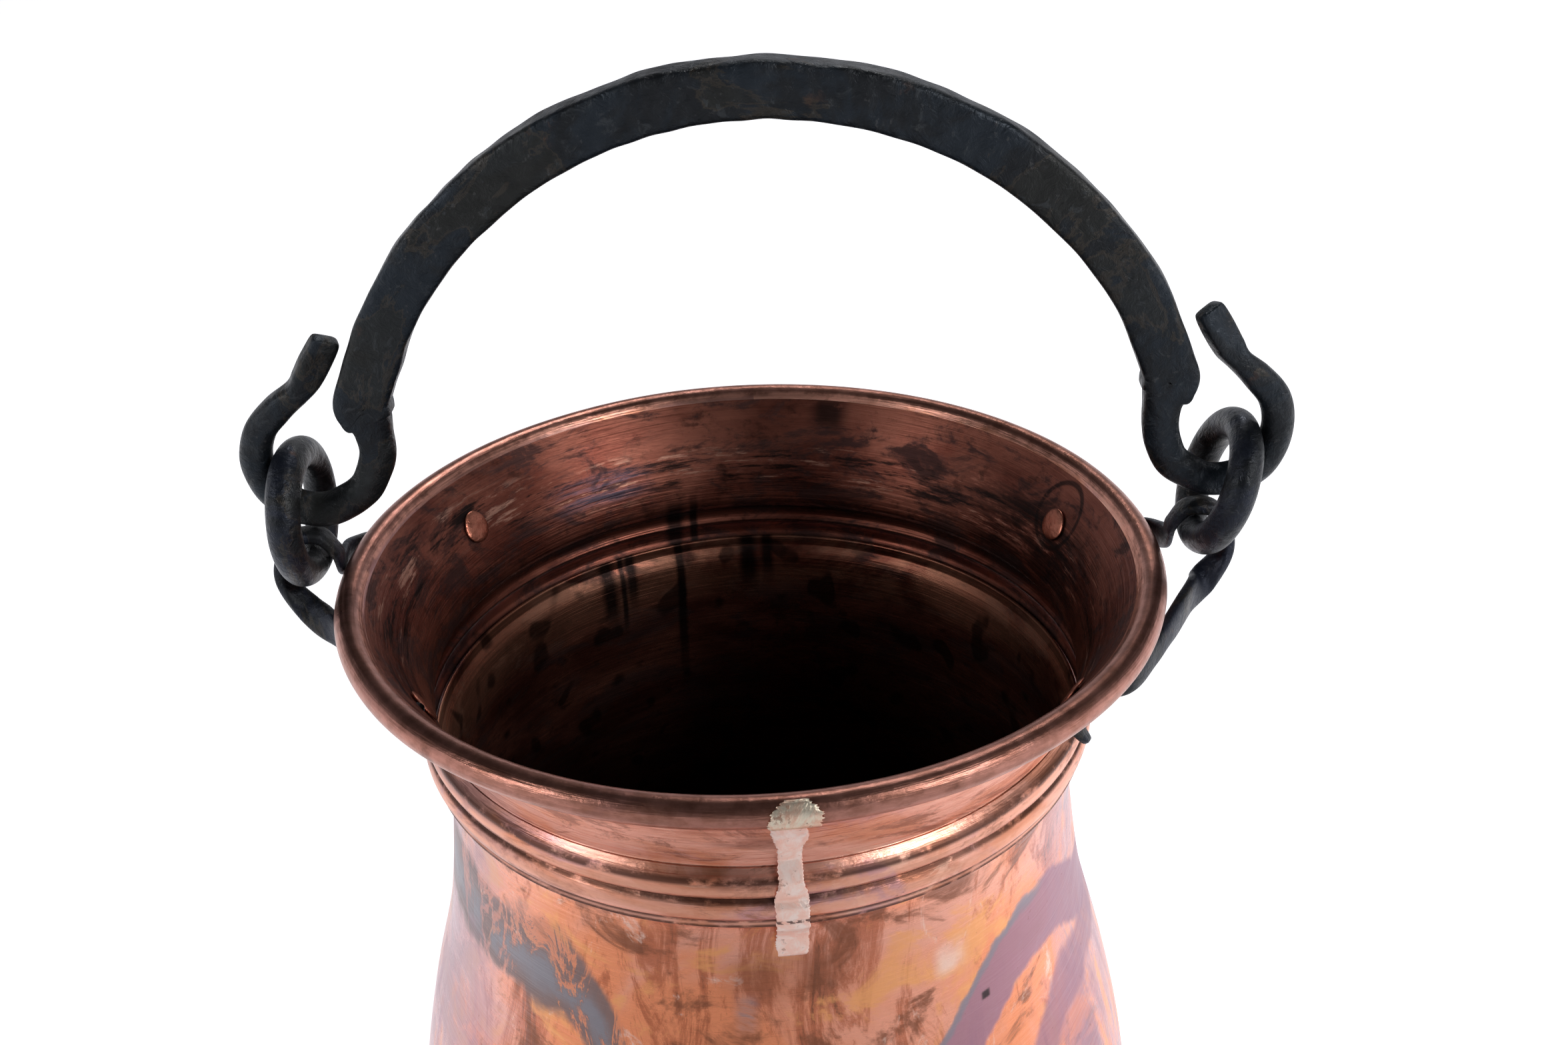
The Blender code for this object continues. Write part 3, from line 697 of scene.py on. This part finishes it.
# %% The collar
curl = np.radians(np.linspace(-140.0, 143.0, 56))
curl_line = np.stack([BEAD_CIRCLE + (BEAD - SHEET / 2) * np.cos(curl),
                      (BEAD - SHEET / 2) * np.sin(curl)], -1)
cove_heights = np.linspace(FLARE_TOP, FLARE_BOTTOM, 42)[1:]
cove_line = np.stack([flare_radius(cove_heights), cove_heights], -1)
neck_line = curve_through([(97.05, -32.6), (98.3, -34.2), (99.75, -35.6), (99.95, -36.6),
                           (100.35, -38.6), (99.95, -40.2), (99.25, -41.2), (100.4, -42.6),
                           (100.85, -44.3), (100.7, -46.4), (99.9, -47.7), (99.4, -48.4),
                           (99.55, -50.2)], 66)[1:]
collar_line = np.concatenate([curl_line, cove_line, neck_line]) + [0, BEAD_HEIGHT]
collar_points = turned(sheet_outline(collar_line, SHEET))
loose = smoothstep(collar_points[..., 2], BEAD_HEIGHT - 46, BEAD_HEIGHT - 20)
collar_points = push_out(collar_points, ripple(collar_points, 60.0, 3) * 0.10 * loose)
collar_mesh = grid_mesh("collar_of_copper", collar_points, rows_closed=True)
add_piece(collar_mesh, "vessel", [collar_metal, collar_inside], "collar_copper", "neck_collar")

# %% [markdown]
# Which side of the sheet a face is on decides its metal. The outline runs down one side and back
# up the other, so a test of each face against the middle line sorts them: inside the flare and
# below the bead, a face whose normal points to the axis belongs to the inside.

# %% Sort the collar's faces
def inside_faces(mesh, below):
    """1 for each face below a height whose normal points towards the axis, else 0."""
    count = len(mesh.polygons)
    centre, normal = np.zeros(count * 3), np.zeros(count * 3)
    mesh.polygons.foreach_get("center", centre)
    mesh.polygons.foreach_get("normal", normal)
    centre, normal = centre.reshape(-1, 3), normal.reshape(-1, 3)
    inward = (centre[:, :2] * normal[:, :2]).sum(1) < 0
    return (inward & (centre[:, 2] < below * MM)).astype(np.int32)


sides = inside_faces(collar_mesh, BEAD_HEIGHT + 1.0)
collar_mesh.polygons.foreach_set("material_index", sides)
print("collar faces inside:", int(sides.sum()), "of", len(sides))

# %% [markdown]
# ## The bowl
# It was raised with a hammer over a stake, from a flat disc. Outside, the marks were planished
# nearly flat; inside they are still there, a staggered field of shallow dints. The wall goes in at
# the waist, out to a low belly, and round a soft heel to a flat base.

# %% Hammer marks
def dints(angle, height, across, up, seed):
    """Shallow dishes on a staggered lattice: in each cell of that many across the turn and that
    pitch in height, one minus the squared distance from a jittered centre, never below 0."""
    row = np.floor(height / up)
    turn = angle / (2 * math.pi) * across + 0.5 * (row % 2)
    cell = np.floor(turn)
    dice = np.random.default_rng(seed).uniform(-0.22, 0.22, (3, 512))
    key = ((cell.astype(int) % across) * 31 + row.astype(int) * 17) % 512
    du = turn - cell - 0.5 - dice[0][key]
    dv = height / up - row - 0.5 - dice[1][key]
    return np.clip(1 - (du ** 2 + dv ** 2) / 0.16, 0, 1) ** 1.5 * (0.7 + 1.4 * dice[2][key])


half = BOWL_SHEET / 2
wall = curve_through([(98.2, -50.6), (95.8, -57.5), (97.0, -80.0), (102.4, -115.0),
                      (112.0, -150.0), (119.7, -185.0), (BELLY_RADIUS, BELLY_DEPTH)], 90)
wall[:, 0] -= half
heel = np.radians(np.linspace(0, 90, 20))[1:]
foot = half - BEAD_HEIGHT
heel_line = np.stack([BASE_RADIUS + (BELLY_RADIUS - half - BASE_RADIUS) * np.cos(heel),
                      BELLY_DEPTH + (foot - BELLY_DEPTH) * np.sin(heel)], -1)
lip = curve_through([(98.3 - half, -47.4), (98.3 - half, -49.0), wall[0]], 7)[:-1]
bowl_line = np.concatenate([lip, wall, heel_line, [(60.0, foot), (30.0, foot), (3.0, foot)]])
step = unit(np.gradient(bowl_line, axis=0))
side = np.stack([-step[:, 1], step[:, 0]], -1) * half
outside_line, inside_line = bowl_line + side, bowl_line - side
print("bowl wall:", len(bowl_line), "points down each side")

# %% The bowl
outline = np.concatenate([outside_line[::-1], bowl_line[:1] + [0, half], inside_line])
outline[:, 1] += BEAD_HEIGHT
bowl_points = turned(outline)
around = np.arctan2(bowl_points[..., 1], bowl_points[..., 0])
up = bowl_points[..., 2]
side_of = (np.arange(len(outline)) > len(outside_line))[:, None] * np.ones_like(around)
body = smoothstep(up, 6.0, 22.0) * (1 - smoothstep(up, 196.0, 212.0))
marks = dints(around, up, 60, 11.5, 5) * 0.30 * side_of
marks = marks - dints(around, up, 84, 8.5, 9) * 0.05 * (1 - side_of)
sway = ripple(bowl_points, 130.0, 21) * 0.16 + ripple(bowl_points, 38.0, 8) * 0.05
bowl_points = push_out(bowl_points, (marks + sway - 0.16) * body)
bowl_mesh = grid_mesh("bowl_of_copper", bowl_points)
add_piece(bowl_mesh, "vessel", [bowl_metal, bowl_inside], "bowl_copper", "body_bowl")
rows = np.arange(len(outline) - 1) >= len(outside_line)
faces = np.repeat(rows, COLUMNS).astype(np.int32)
faces = np.concatenate([faces, np.zeros(COLUMNS, np.int32), np.ones(COLUMNS, np.int32)])
bowl_mesh.polygons.foreach_set("material_index", faces)
print("bowl faces inside:", int(faces.sum()))

# %% [markdown]
# ## The seam strip and its solder
# The strip was cut by hand and hammered over the ridges, so its width wanders, its corners are
# notched, and it ends ragged. It is a band carried down the collar's profile: at each height it
# has its own left and right edge, and it thins towards both.

# %% The strip
def band_on_wall(line, left, right, thick):
    """A flat closed tube carried along a (radius, height) line. At each row it runs from the
    left to the right edge, given in millimetres along the wall, and its half thickness follows
    the fourth-power ellipse of its section."""
    step = unit(np.gradient(line, axis=0))
    normal = np.stack([-step[:, 1], step[:, 0]], -1)
    turn = circle(28)
    flat, lift = squared_off(np.cos(turn), 0.5), squared_off(np.sin(turn), 0.5)
    middle, reach = (right + left) / 2, (right - left) / 2
    across = middle[:, None] + reach[:, None] * flat
    radius = line[:, 0, None] + normal[:, 0, None] * lift * thick[:, None]
    height = line[:, 1, None] + normal[:, 1, None] * lift * thick[:, None]
    angle = math.radians(SEAM) + across / line[:, 0, None]
    return np.stack([radius * np.cos(angle), radius * np.sin(angle), height], -1)


def ragged_band(line, left, right, bite, seed, half, taper, thin):
    """A band whose two edges run through knots (where, millimetres), with where from 0 to 1, and
    are nibbled at random by up to the bite. Its half thickness falls at each end to a share."""
    down = np.linspace(0, 1, len(line))
    nibbles = np.random.default_rng(seed).uniform(-bite, bite, (2, len(line)))
    edges = [np.interp(down, *knots) + each for knots, each in zip((left, right), nibbles)]
    return band_on_wall(line, *edges, half * np.clip(np.minimum(down, 1 - down) * taper, thin, 1))


off = SHEET / 2 + GAP + 0.1 + 0.35
cove = np.linspace(-7.5, -29.5, 20)
cove_slope = flare_slope(cove)
length = np.hypot(1.0, cove_slope)
strip_line = np.stack([flare_radius(cove) + off / length, cove - off * cove_slope / length], -1)
neck_lay = [(101.2, -34.6), (101.75, -38.4), (100.95, -41.1), (102.1, -43.3), (102.2, -46.2),
            (101.2, -49.0), (100.9, -50.9), (99.0, -53.6), (97.5, -57.5), (97.35, -63.5)]
strip_line = np.concatenate([strip_line, curve_through([strip_line[-1], *neck_lay], 90)[1:]])
strip_line = even_line(strip_line, STRIP_ROWS) + [0, BEAD_HEIGHT]
edge_knots = np.linspace(0, 1, 17)
left_knots = [-5.4, -5.6, -4.6, -4.9, -4.2, -3.2, -3.1, -3.3, -3.2, -4.3, -4.5, -4.3, -4.4, -4.1,
              -4.3, -4.5, -4.0]
right_knots = [4.4, 4.2, 3.9, 4.4, 4.9, 3.2, 3.0, 3.2, 3.0, 4.2, 4.4, 4.2, 4.5, 4.0, 4.3, 4.2, 3.8]
strip_points = ragged_band(strip_line, (edge_knots, left_knots), (edge_knots, right_knots),
                           bite=0.22, seed=4, half=0.34, taper=60, thin=0.25)
add_piece(grid_mesh("seam_patch", strip_points), "vessel", [strip_metal], "strip_copper",
          "seam_strip")

# %% The solder on the bead
bead_turn = np.radians(np.linspace(70.0, -118.0, SOLDER_ROWS))
solder_radius = BEAD + 0.28
solder_line = np.stack([BEAD_CIRCLE + solder_radius * np.cos(bead_turn),
                        BEAD_HEIGHT + solder_radius * np.sin(bead_turn)], -1)
solder_points = ragged_band(
    solder_line, ([0, 0.2, 0.45, 0.7, 1], [-2.0, -5.5, -6.6, -5.2, -3.0]),
    ([0, 0.25, 0.5, 0.8, 1], [3.0, 6.6, 6.0, 5.6, 4.0]),
    bite=0.5, seed=11, half=0.26, taper=14, thin=0.15)
add_piece(grid_mesh("seam_solder", solder_points), "vessel", [solder_metal], "strip_copper")

# %% [markdown]
# ## Rivets
# A rivet starts as a pin with a low round head inside the collar. The other end is peened over
# the ear's plate outside. Both heads are a little out of round, from the hammer.

# %% Rivets
def wall_frame(angle, height):
    """The point on the middle of the collar's sheet, and its outward normal and upward slope."""
    slope = float(flare_slope(height))
    long = math.hypot(1.0, slope)
    outward = np.array([math.cos(math.radians(angle)), math.sin(math.radians(angle)), 0.0])
    up_way = np.array([0.0, 0.0, 1.0])
    point = outward * flare_radius(height) + up_way * (BEAD_HEIGHT + height)
    return point, (outward - up_way * slope) / long, (outward * slope + up_way) / long


def rivet_points(angle, seed):
    """The rivet's profile turned about the wall's normal, with a ripple on both heads."""
    inner = SHEET / 2 + GAP + 0.15
    outer = SHEET / 2 + PLATE_GAP + 2 * PLATE + GAP
    head = np.radians(np.linspace(84, 0, 12))
    peened = np.stack([4.1 * np.cos(head), outer + 1.85 * np.sin(head)], -1)
    low = np.radians(np.linspace(0, 84, 14))
    round_head = np.stack([5.1 * np.cos(low) ** 0.7, -inner - 0.25 - 0.8 * np.sin(low)], -1)
    shank = [(3.9, outer - 0.05), (2.2, outer - 0.05), (2.2, -inner), (5.0, -inner)]
    profile = np.concatenate([peened, shank, round_head])
    turn = circle(48)
    dice = np.random.default_rng(seed).uniform(0, 6.3, 2)
    round_off = 1 + 0.035 * np.sin(2 * turn + dice[0]) + 0.02 * np.sin(3 * turn + dice[1])
    point, normal, slope = wall_frame(angle, RIVET_HEIGHT)
    side_way = np.cross(normal, slope)
    radius = profile[:, 0, None] * np.where(profile[:, :1] > 3, round_off, 1.0)
    return (point + radius[..., None] * (np.cos(turn)[:, None] * slope
                                         + np.sin(turn)[:, None] * side_way)
            + profile[:, 1, None, None] * normal)


for number, (node, angle) in enumerate((("rivet_right_rear", REAR_RIVET["right"]),
                                        ("rivet_right_front", FRONT_RIVET["right"]),
                                        ("rivet_left_front", 180.0 - FRONT_RIVET["left"]),
                                        ("rivet_left_rear", 180.0 - REAR_RIVET["left"]))):
    add_piece(grid_mesh(node + "_peened", rivet_points(angle, number)), "vessel", [rivet_metal],
              "rivet_copper", node)

# %% [markdown]
# ## Forged bars
# Ears and bail are one idea: a section carried along a path. The section is a superellipse,
# round where its power is 2 and nearly square where it is 6. Path, width direction, half sizes
# and power all run smoothly through a list of stations, one for each blow that mattered.

# %% A bar along stations
def forged(stations, count, columns, rough, seed, dome=2.0):
    """A bar from stations (x, y, z, width direction, half width, half thickness, power):
    centre + across * a * sgn(cos)|cos|^(2/n) + normal * b * sgn(sin)|sin|^(2/n), with ends that
    round off over the dome's length and a ripple for the hammer."""
    table = curve_through(np.array(stations, float), count)
    centre, wide_way = table[:, :3], table[:, 3:6]
    along = unit(np.gradient(centre, axis=0))
    across = unit(wide_way - along * (wide_way * along).sum(1)[:, None])
    normal = np.cross(along, across)
    far = run_length(centre)
    to_end = np.minimum(far, far[-1] - far)
    close = np.sqrt(np.clip(1 - np.clip(1 - to_end / dome, 0, 1) ** 2, 0.04, 1))[:, None]
    turn, power = circle(columns), 2 / table[:, 8, None]
    u = squared_off(np.cos(turn), power) * table[:, 6, None] * close
    v = squared_off(np.sin(turn), power) * table[:, 7, None] * close
    points = centre[:, None] + across[:, None] * u[..., None] + normal[:, None] * v[..., None]
    bumps = ripple(points, 26.0, seed) * rough + ripple(points, 9.0, seed + 1) * rough * 0.35
    return points + (points - centre[:, None]) / 6.0 * bumps[..., None]


print("forging helper ready")

# %% [markdown]
# ## The ears
# Each ear is one strap. A plate is riveted behind, the strap comes out under the rim, goes up
# inside the ring, over its rod and down again, and runs forward to a second plate, whose end is
# cut to a point and stands off the copper a little. The left ear is the mirror of such a strap.

# %% The ears
def plate_station(angle, half_width, half_thick):
    """A station where the strap lies on the collar; its width runs up the wall's slope."""
    point, normal, slope = wall_frame(angle, RIVET_HEIGHT)
    centre = point + normal * (SHEET / 2 + PLATE_GAP + half_thick)
    return (*centre, *slope, half_width, half_thick, 4.0)


def ear_stations(ring_x, spread, rear_angle, front_angle, rear_arm, front_arm, tail):
    """The strap's stations from the rear plate to the front one, as on the right side."""
    low = BEAD_HEIGHT
    rear = [plate_station(rear_angle + a, w, t) for a, w, t in
            ((5.0, 4.6, 1.2), (3.2, 6.6, 1.3), (0.0, 7.4, 1.3), (-3.6, 6.0, 1.4), (-6.6, 4.6, 1.6))]
    front = [plate_station(front_angle + a, w, t) for a, w, t in
             ((6.0, 5.2, 1.7), (3.4, 6.6, 1.5), (0.0, 7.4, 1.3), (-2.6, 6.8, 1.3))]
    saddle = [(-6.8, 3.6, 1.6, 0, 1, 1, 3.4, 1.2, 3.2), (-6.7, 0.9, 7.0, 0, 1, 0, 3.6, 1.3, 3.2),
              (-3.6, 0.0, 12.4, 0, 1, 0, 3.5, 1.8, 3.0), (0.4, 0.0, 13.4, 0, 1, 0, 3.6, 2.0, 3.0),
              (4.6, -0.2, 12.2, 0, 1, 0, 3.6, 2.1, 3.0), (7.6, -1.4, 7.4, 0, 1, 0, 3.7, 2.1, 3.0),
              (7.8, -3.4, 0.6, 0, 1, 0, 3.8, 2.1, 3.0), (1.4, -8.0, -7.2, 0, 1, 1, 4.2, 2.0, 3.0)]
    saddle = [(ring_x + (spread * s[0] if s[0] > 0 else s[0]), s[1], low + s[2], *s[3:])
              for s in saddle]
    rear_arm = [(x, y, low + h, 0, 0, 1, 4.0, 1.5, 3.2) for x, y, h in rear_arm]
    front_arm = [(x, y, low + h, 0, 0, 1, 5.2 - 0.4 * k, 1.9, 3.2)
                 for k, (x, y, h) in enumerate(front_arm)]
    tail = [(x, y, low + h, *way, wide, 1.1, 4.0) for x, y, h, way, wide in tail]
    return rear + rear_arm + saddle + front_arm + front + tail


right_stations = ear_stations(
    130.0, 1.1, REAR_RIVET["right"], FRONT_RIVET["right"],
    ((110.6, 24.5, -9.0), (119.6, 17.2, -4.0), (122.9, 9.5, -1.4)),
    ((126.4, -15.0, -8.2), (119.4, -26.5, -9.2), (110.8, -39.5, -10.8), (102.2, -50.0, -12.4)),
    ((86.4, -66.2, -14.4, (-0.45, 0.3, 1), 6.0), (85.4, -71.0, -15.6, (-0.7, 0.45, 1), 3.4)))
left_stations = ear_stations(
    128.0, 1.12, REAR_RIVET["left"], FRONT_RIVET["left"],
    ((107.0, 36.6, -10.8), (117.4, 29.4, -6.4), (121.8, 14.5, -0.6)),
    ((120.4, -15.0, -10.8), (113.8, -23.8, -11.4), (106.6, -32.8, -12.2)),
    ((90.0, -58.0, -13.6, (-0.45, 0.3, 1), 4.0),))
right_ear = forged(right_stations, 320, 40, 0.30, 31, dome=0.9)
left_ear = forged(left_stations, 320, 40, 0.30, 41, dome=0.9) * [-1, 1, 1]
add_piece(grid_mesh("ear_strap_right", right_ear), "vessel", [ear_metal], "ear_iron", "ear_right")
add_piece(grid_mesh("ear_strap_left", left_ear), "vessel", [ear_metal], "ear_iron", "ear_left")

# %% [markdown]
# ## The rings
# Each ring is a round bar bent and welded shut, a little thicker at two places. The left ring
# hangs slightly turned on its ear, and the right one leans, with its top away from the pail.

# %% The rings
def ring_points(x, yaw, lean, seed):
    """A torus: the rod's circle carried round the ring's circle, in the plane square to X, then
    turned by a yaw about Z and a lean about Y. The rod's radius ripples with the hammer."""
    hoop, rod = circle(144)[:, None], circle(48)[None]
    thick = RING_ROD - 0.12 + 0.10 * np.sin(hoop * 2 + seed) + 0 * rod
    reach = RING_MEAN - RING_SHRINK + thick * np.cos(rod)
    points = np.stack([thick * np.sin(rod), reach * np.sin(hoop), reach * np.cos(hoop)], -1)
    points = points * (1 + ripple(points, 14.0, seed)[..., None] * 0.004)
    turn = np.array(turn_about("Z", yaw) @ turn_about("Y", lean))
    return points @ turn.T + [x, 0.0, BEAD_HEIGHT + RING_CENTRE + RING_LIFT]


for end in ("left", "right"):
    ring = ring_points(RING_X[end] + RING_SHIFT[end], RING_YAW[end], RING_LEAN[end], RING_SEED[end])
    add_piece(grid_mesh("ring_of_iron_" + end, ring, True), "ring_" + end, [ring_metal],
              "ring_iron", "ring_" + end)

# %% [markdown]
# ## The bail
# The bail is a flat bar with bevelled edges, bent on edge into an arch. Each end is drawn down to
# a round rod, which starts inside the bar's width and leaves a step outside it, bends down and
# out through the ring, and comes up to a flattened, slightly twisted tip.

# %% The bail
def hook_stations(end):
    """The rod of one hook from the bar to its tip: (outward, height, half width, half thickness,
    power, twist in degrees)."""
    bend, inset = TIP_BEND[end], HOOK_INSET[end]
    return [(114.6 - inset, 57.0, *BAR, 0), (114.4 - inset, 53.4, 7.5, 5.4, 5.5, 0),
            (114.2 - inset, 51.0, 7.3, 5.3, 4.5, 0), (113.5 - inset, 48.8, 5.9, 5.1, 3.6, 0),
            (113.2 - inset, 45.6, 5.3, 4.9, 2.9, 0), (113.2 - inset, 40.0, 5.1, 4.8, 2.5, 0),
            (113.8 - 0.6 * inset, 34.2, 5.0, 4.8, 2.3, 0),
            (115.9 - 0.2 * inset, 28.4, 5.0, 4.8, 2.2, 0),
            (121.0, 24.4, 4.9, 4.8, 2.1, 0), (127.5, 21.9, 4.8, 4.8, 2.1, 0),
            (135.6, 23.2, 4.8, 4.8, 2.1, 0), (142.0, 29.2, 4.8, 4.7, 2.1, 0),
            (144.6, 38.0, 4.7, 4.6, 2.2, 0), (142.8 - 0.4 * bend, 46.8, 4.5, 4.4, 2.4, 0),
            (137.4 - 1.0 * bend, 53.6, 4.1, 4.0, 2.6, 8),
            (131.6 - 1.8 * bend, 59.0, 3.4, 3.8, 3.0, 16),
            (128.4 - 2.2 * bend, 63.0, 4.2, 3.2, 3.6, 22),
            (125.4 - 2.4 * bend, 68.0, 4.5, 2.9, 4.0, 26),
            (122.4 - 2.6 * bend, 73.0, 4.1, 2.6, 4.5, 26),
            (121.4 - 2.6 * bend, 74.8, 3.2, 2.3, 4.5, 26)]


arch_turn = np.radians(np.linspace(180 - ARCH_END, ARCH_END, 27))
arch_radius = BAIL_ARCH - ARCH_SHRINK
arch = [(arch_radius * math.cos(t) + ARCH_ASIDE,
         BAIL_ARCH_HEIGHT + ARCH_LIFT + arch_radius * math.sin(t), *BAR, 0) for t in arch_turn]
left_hook = [(-s[0], *s[1:5], -s[5]) for s in reversed(hook_stations("left"))]
flat = np.array(left_hook + arch + hook_stations("right"))
way = np.gradient(flat[:, :2], axis=0)
for _ in range(3):
    way[1:-1] = (way[:-2] + 2 * way[1:-1] + way[2:]) / 4
way = unit(way)
twist = np.radians(flat[:, 5])
bail_stations = np.stack([flat[:, 0] + BAIL_CENTRE_X, 0 * twist, flat[:, 1] + BEAD_HEIGHT,
                          way[:, 1] * np.cos(twist), np.sin(twist), -way[:, 0] * np.cos(twist),
                          flat[:, 2], flat[:, 3], flat[:, 4]], -1)
bail_points = forged(bail_stations, 1200, 72, 0.20, 55, dome=0.8)
add_piece(grid_mesh("bail_of_iron", bail_points), "bail", [bail_metal], "bail_iron", "bail_handle")

# %% [markdown]
# ## The wire in the rim
# Only a hair of it shows where the curl stops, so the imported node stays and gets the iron.

# %% The rim wire
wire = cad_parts["rim_wire"]
wire.data.materials.clear()
wire.data.materials.append(wire_metal)
print("wire metal set")

# %% [markdown]
# ## Floor and light
# A white floor, a bright room on all sides and one soft window: polished copper shows what is
# round it, so a plain bright room gives it its pink edges, and the window its highlights. Above
# the pail the room is darker, which keeps the iron and the inside deep.

# %% Floor
FLOOR_HALF, FLOOR_LEVEL = 6, -0.0004
corners = ((-1, -1), (1, -1), (1, 1), (-1, 1))
floor_mesh = bpy.data.meshes.new("floor")
floor_mesh.from_pydata([(x * FLOOR_HALF, y * FLOOR_HALF, FLOOR_LEVEL) for x, y in corners], [],
                       [(0, 1, 2, 3)])
floor = new_object("floor", floor_mesh)
floor_metal, floor_shader, _, (across, deep, _) = new_metal("floor_white_glowing")
floor_shader.inputs["Base Color"].default_value = (0.93, 0.94, 0.96, 1)
floor_shader.inputs["Roughness"].default_value = 0.7
# The floor glows by its own emission: painted light behind the pail and to the sides, and a painted
# shadow in front of it, near the camera.
lit = deep.smooth(-0.25, 0.02).math("MAXIMUM", across.math("ABSOLUTE").smooth(0.45, 0.90))
painted_floor_glow = blend_colour(lit, (0.10, 0.10, 0.11), (0.97, 0.97, 1.0))
floor_metal.node_tree.links.new(painted_floor_glow.socket, floor_shader.inputs["Emission Color"])
floor_shader.inputs["Emission Strength"].default_value = 0.85
floor_mesh.materials.append(floor_metal)
print("floor", 2 * FLOOR_HALF, "m square")

# %% Room and lights
world = bpy.data.worlds.new("room")
bpy.context.scene.world = world
world.use_nodes = True
room = world.node_tree
sky = Value(room, room.nodes.new("ShaderNodeTexCoord").outputs["Generated"])
split = room.nodes.new("ShaderNodeSeparateXYZ")
room.links.new(sky.socket, split.inputs[0])
_, depth_of, height_of = (Value(room, s) for s in split.outputs)
walls = (1.0 - height_of.smooth(0.05, 0.50)) * (1.0 - (0.0 - depth_of).smooth(0.35, 0.95) * 0.75)
tone = blend_colour(walls, (0.030, 0.030, 0.033), (0.80, 0.81, 0.86))
room.links.new(tone.socket, room.nodes["Background"].inputs["Color"])
room.nodes["Background"].inputs["Strength"].default_value = 1.0


def soft_light(name, place, target, size, power):
    """A square area light that faces a point, in metres and watts."""
    lamp = bpy.data.lights.new(name, "AREA")
    lamp.shape, lamp.size, lamp.energy = "SQUARE", size, power
    made = new_object(name, lamp)
    made.location = place
    made.rotation_euler = (Vector(target) - Vector(place)).to_track_quat("-Z", "Y").to_euler()


soft_light("window", (1.3, -1.0, 1.3), (0, 0, 0.2), 0.5, 14.0)
soft_light("fill", (-1.5, -0.9, 1.2), (0, 0, 0.2), 0.5, 8.0)
soft_light("back", (0.4, 1.6, 2.2), (0, 0, 0.25), 0.6, 14.0)
bpy.context.scene.view_settings.view_transform = "Standard"
print("three soft lights")
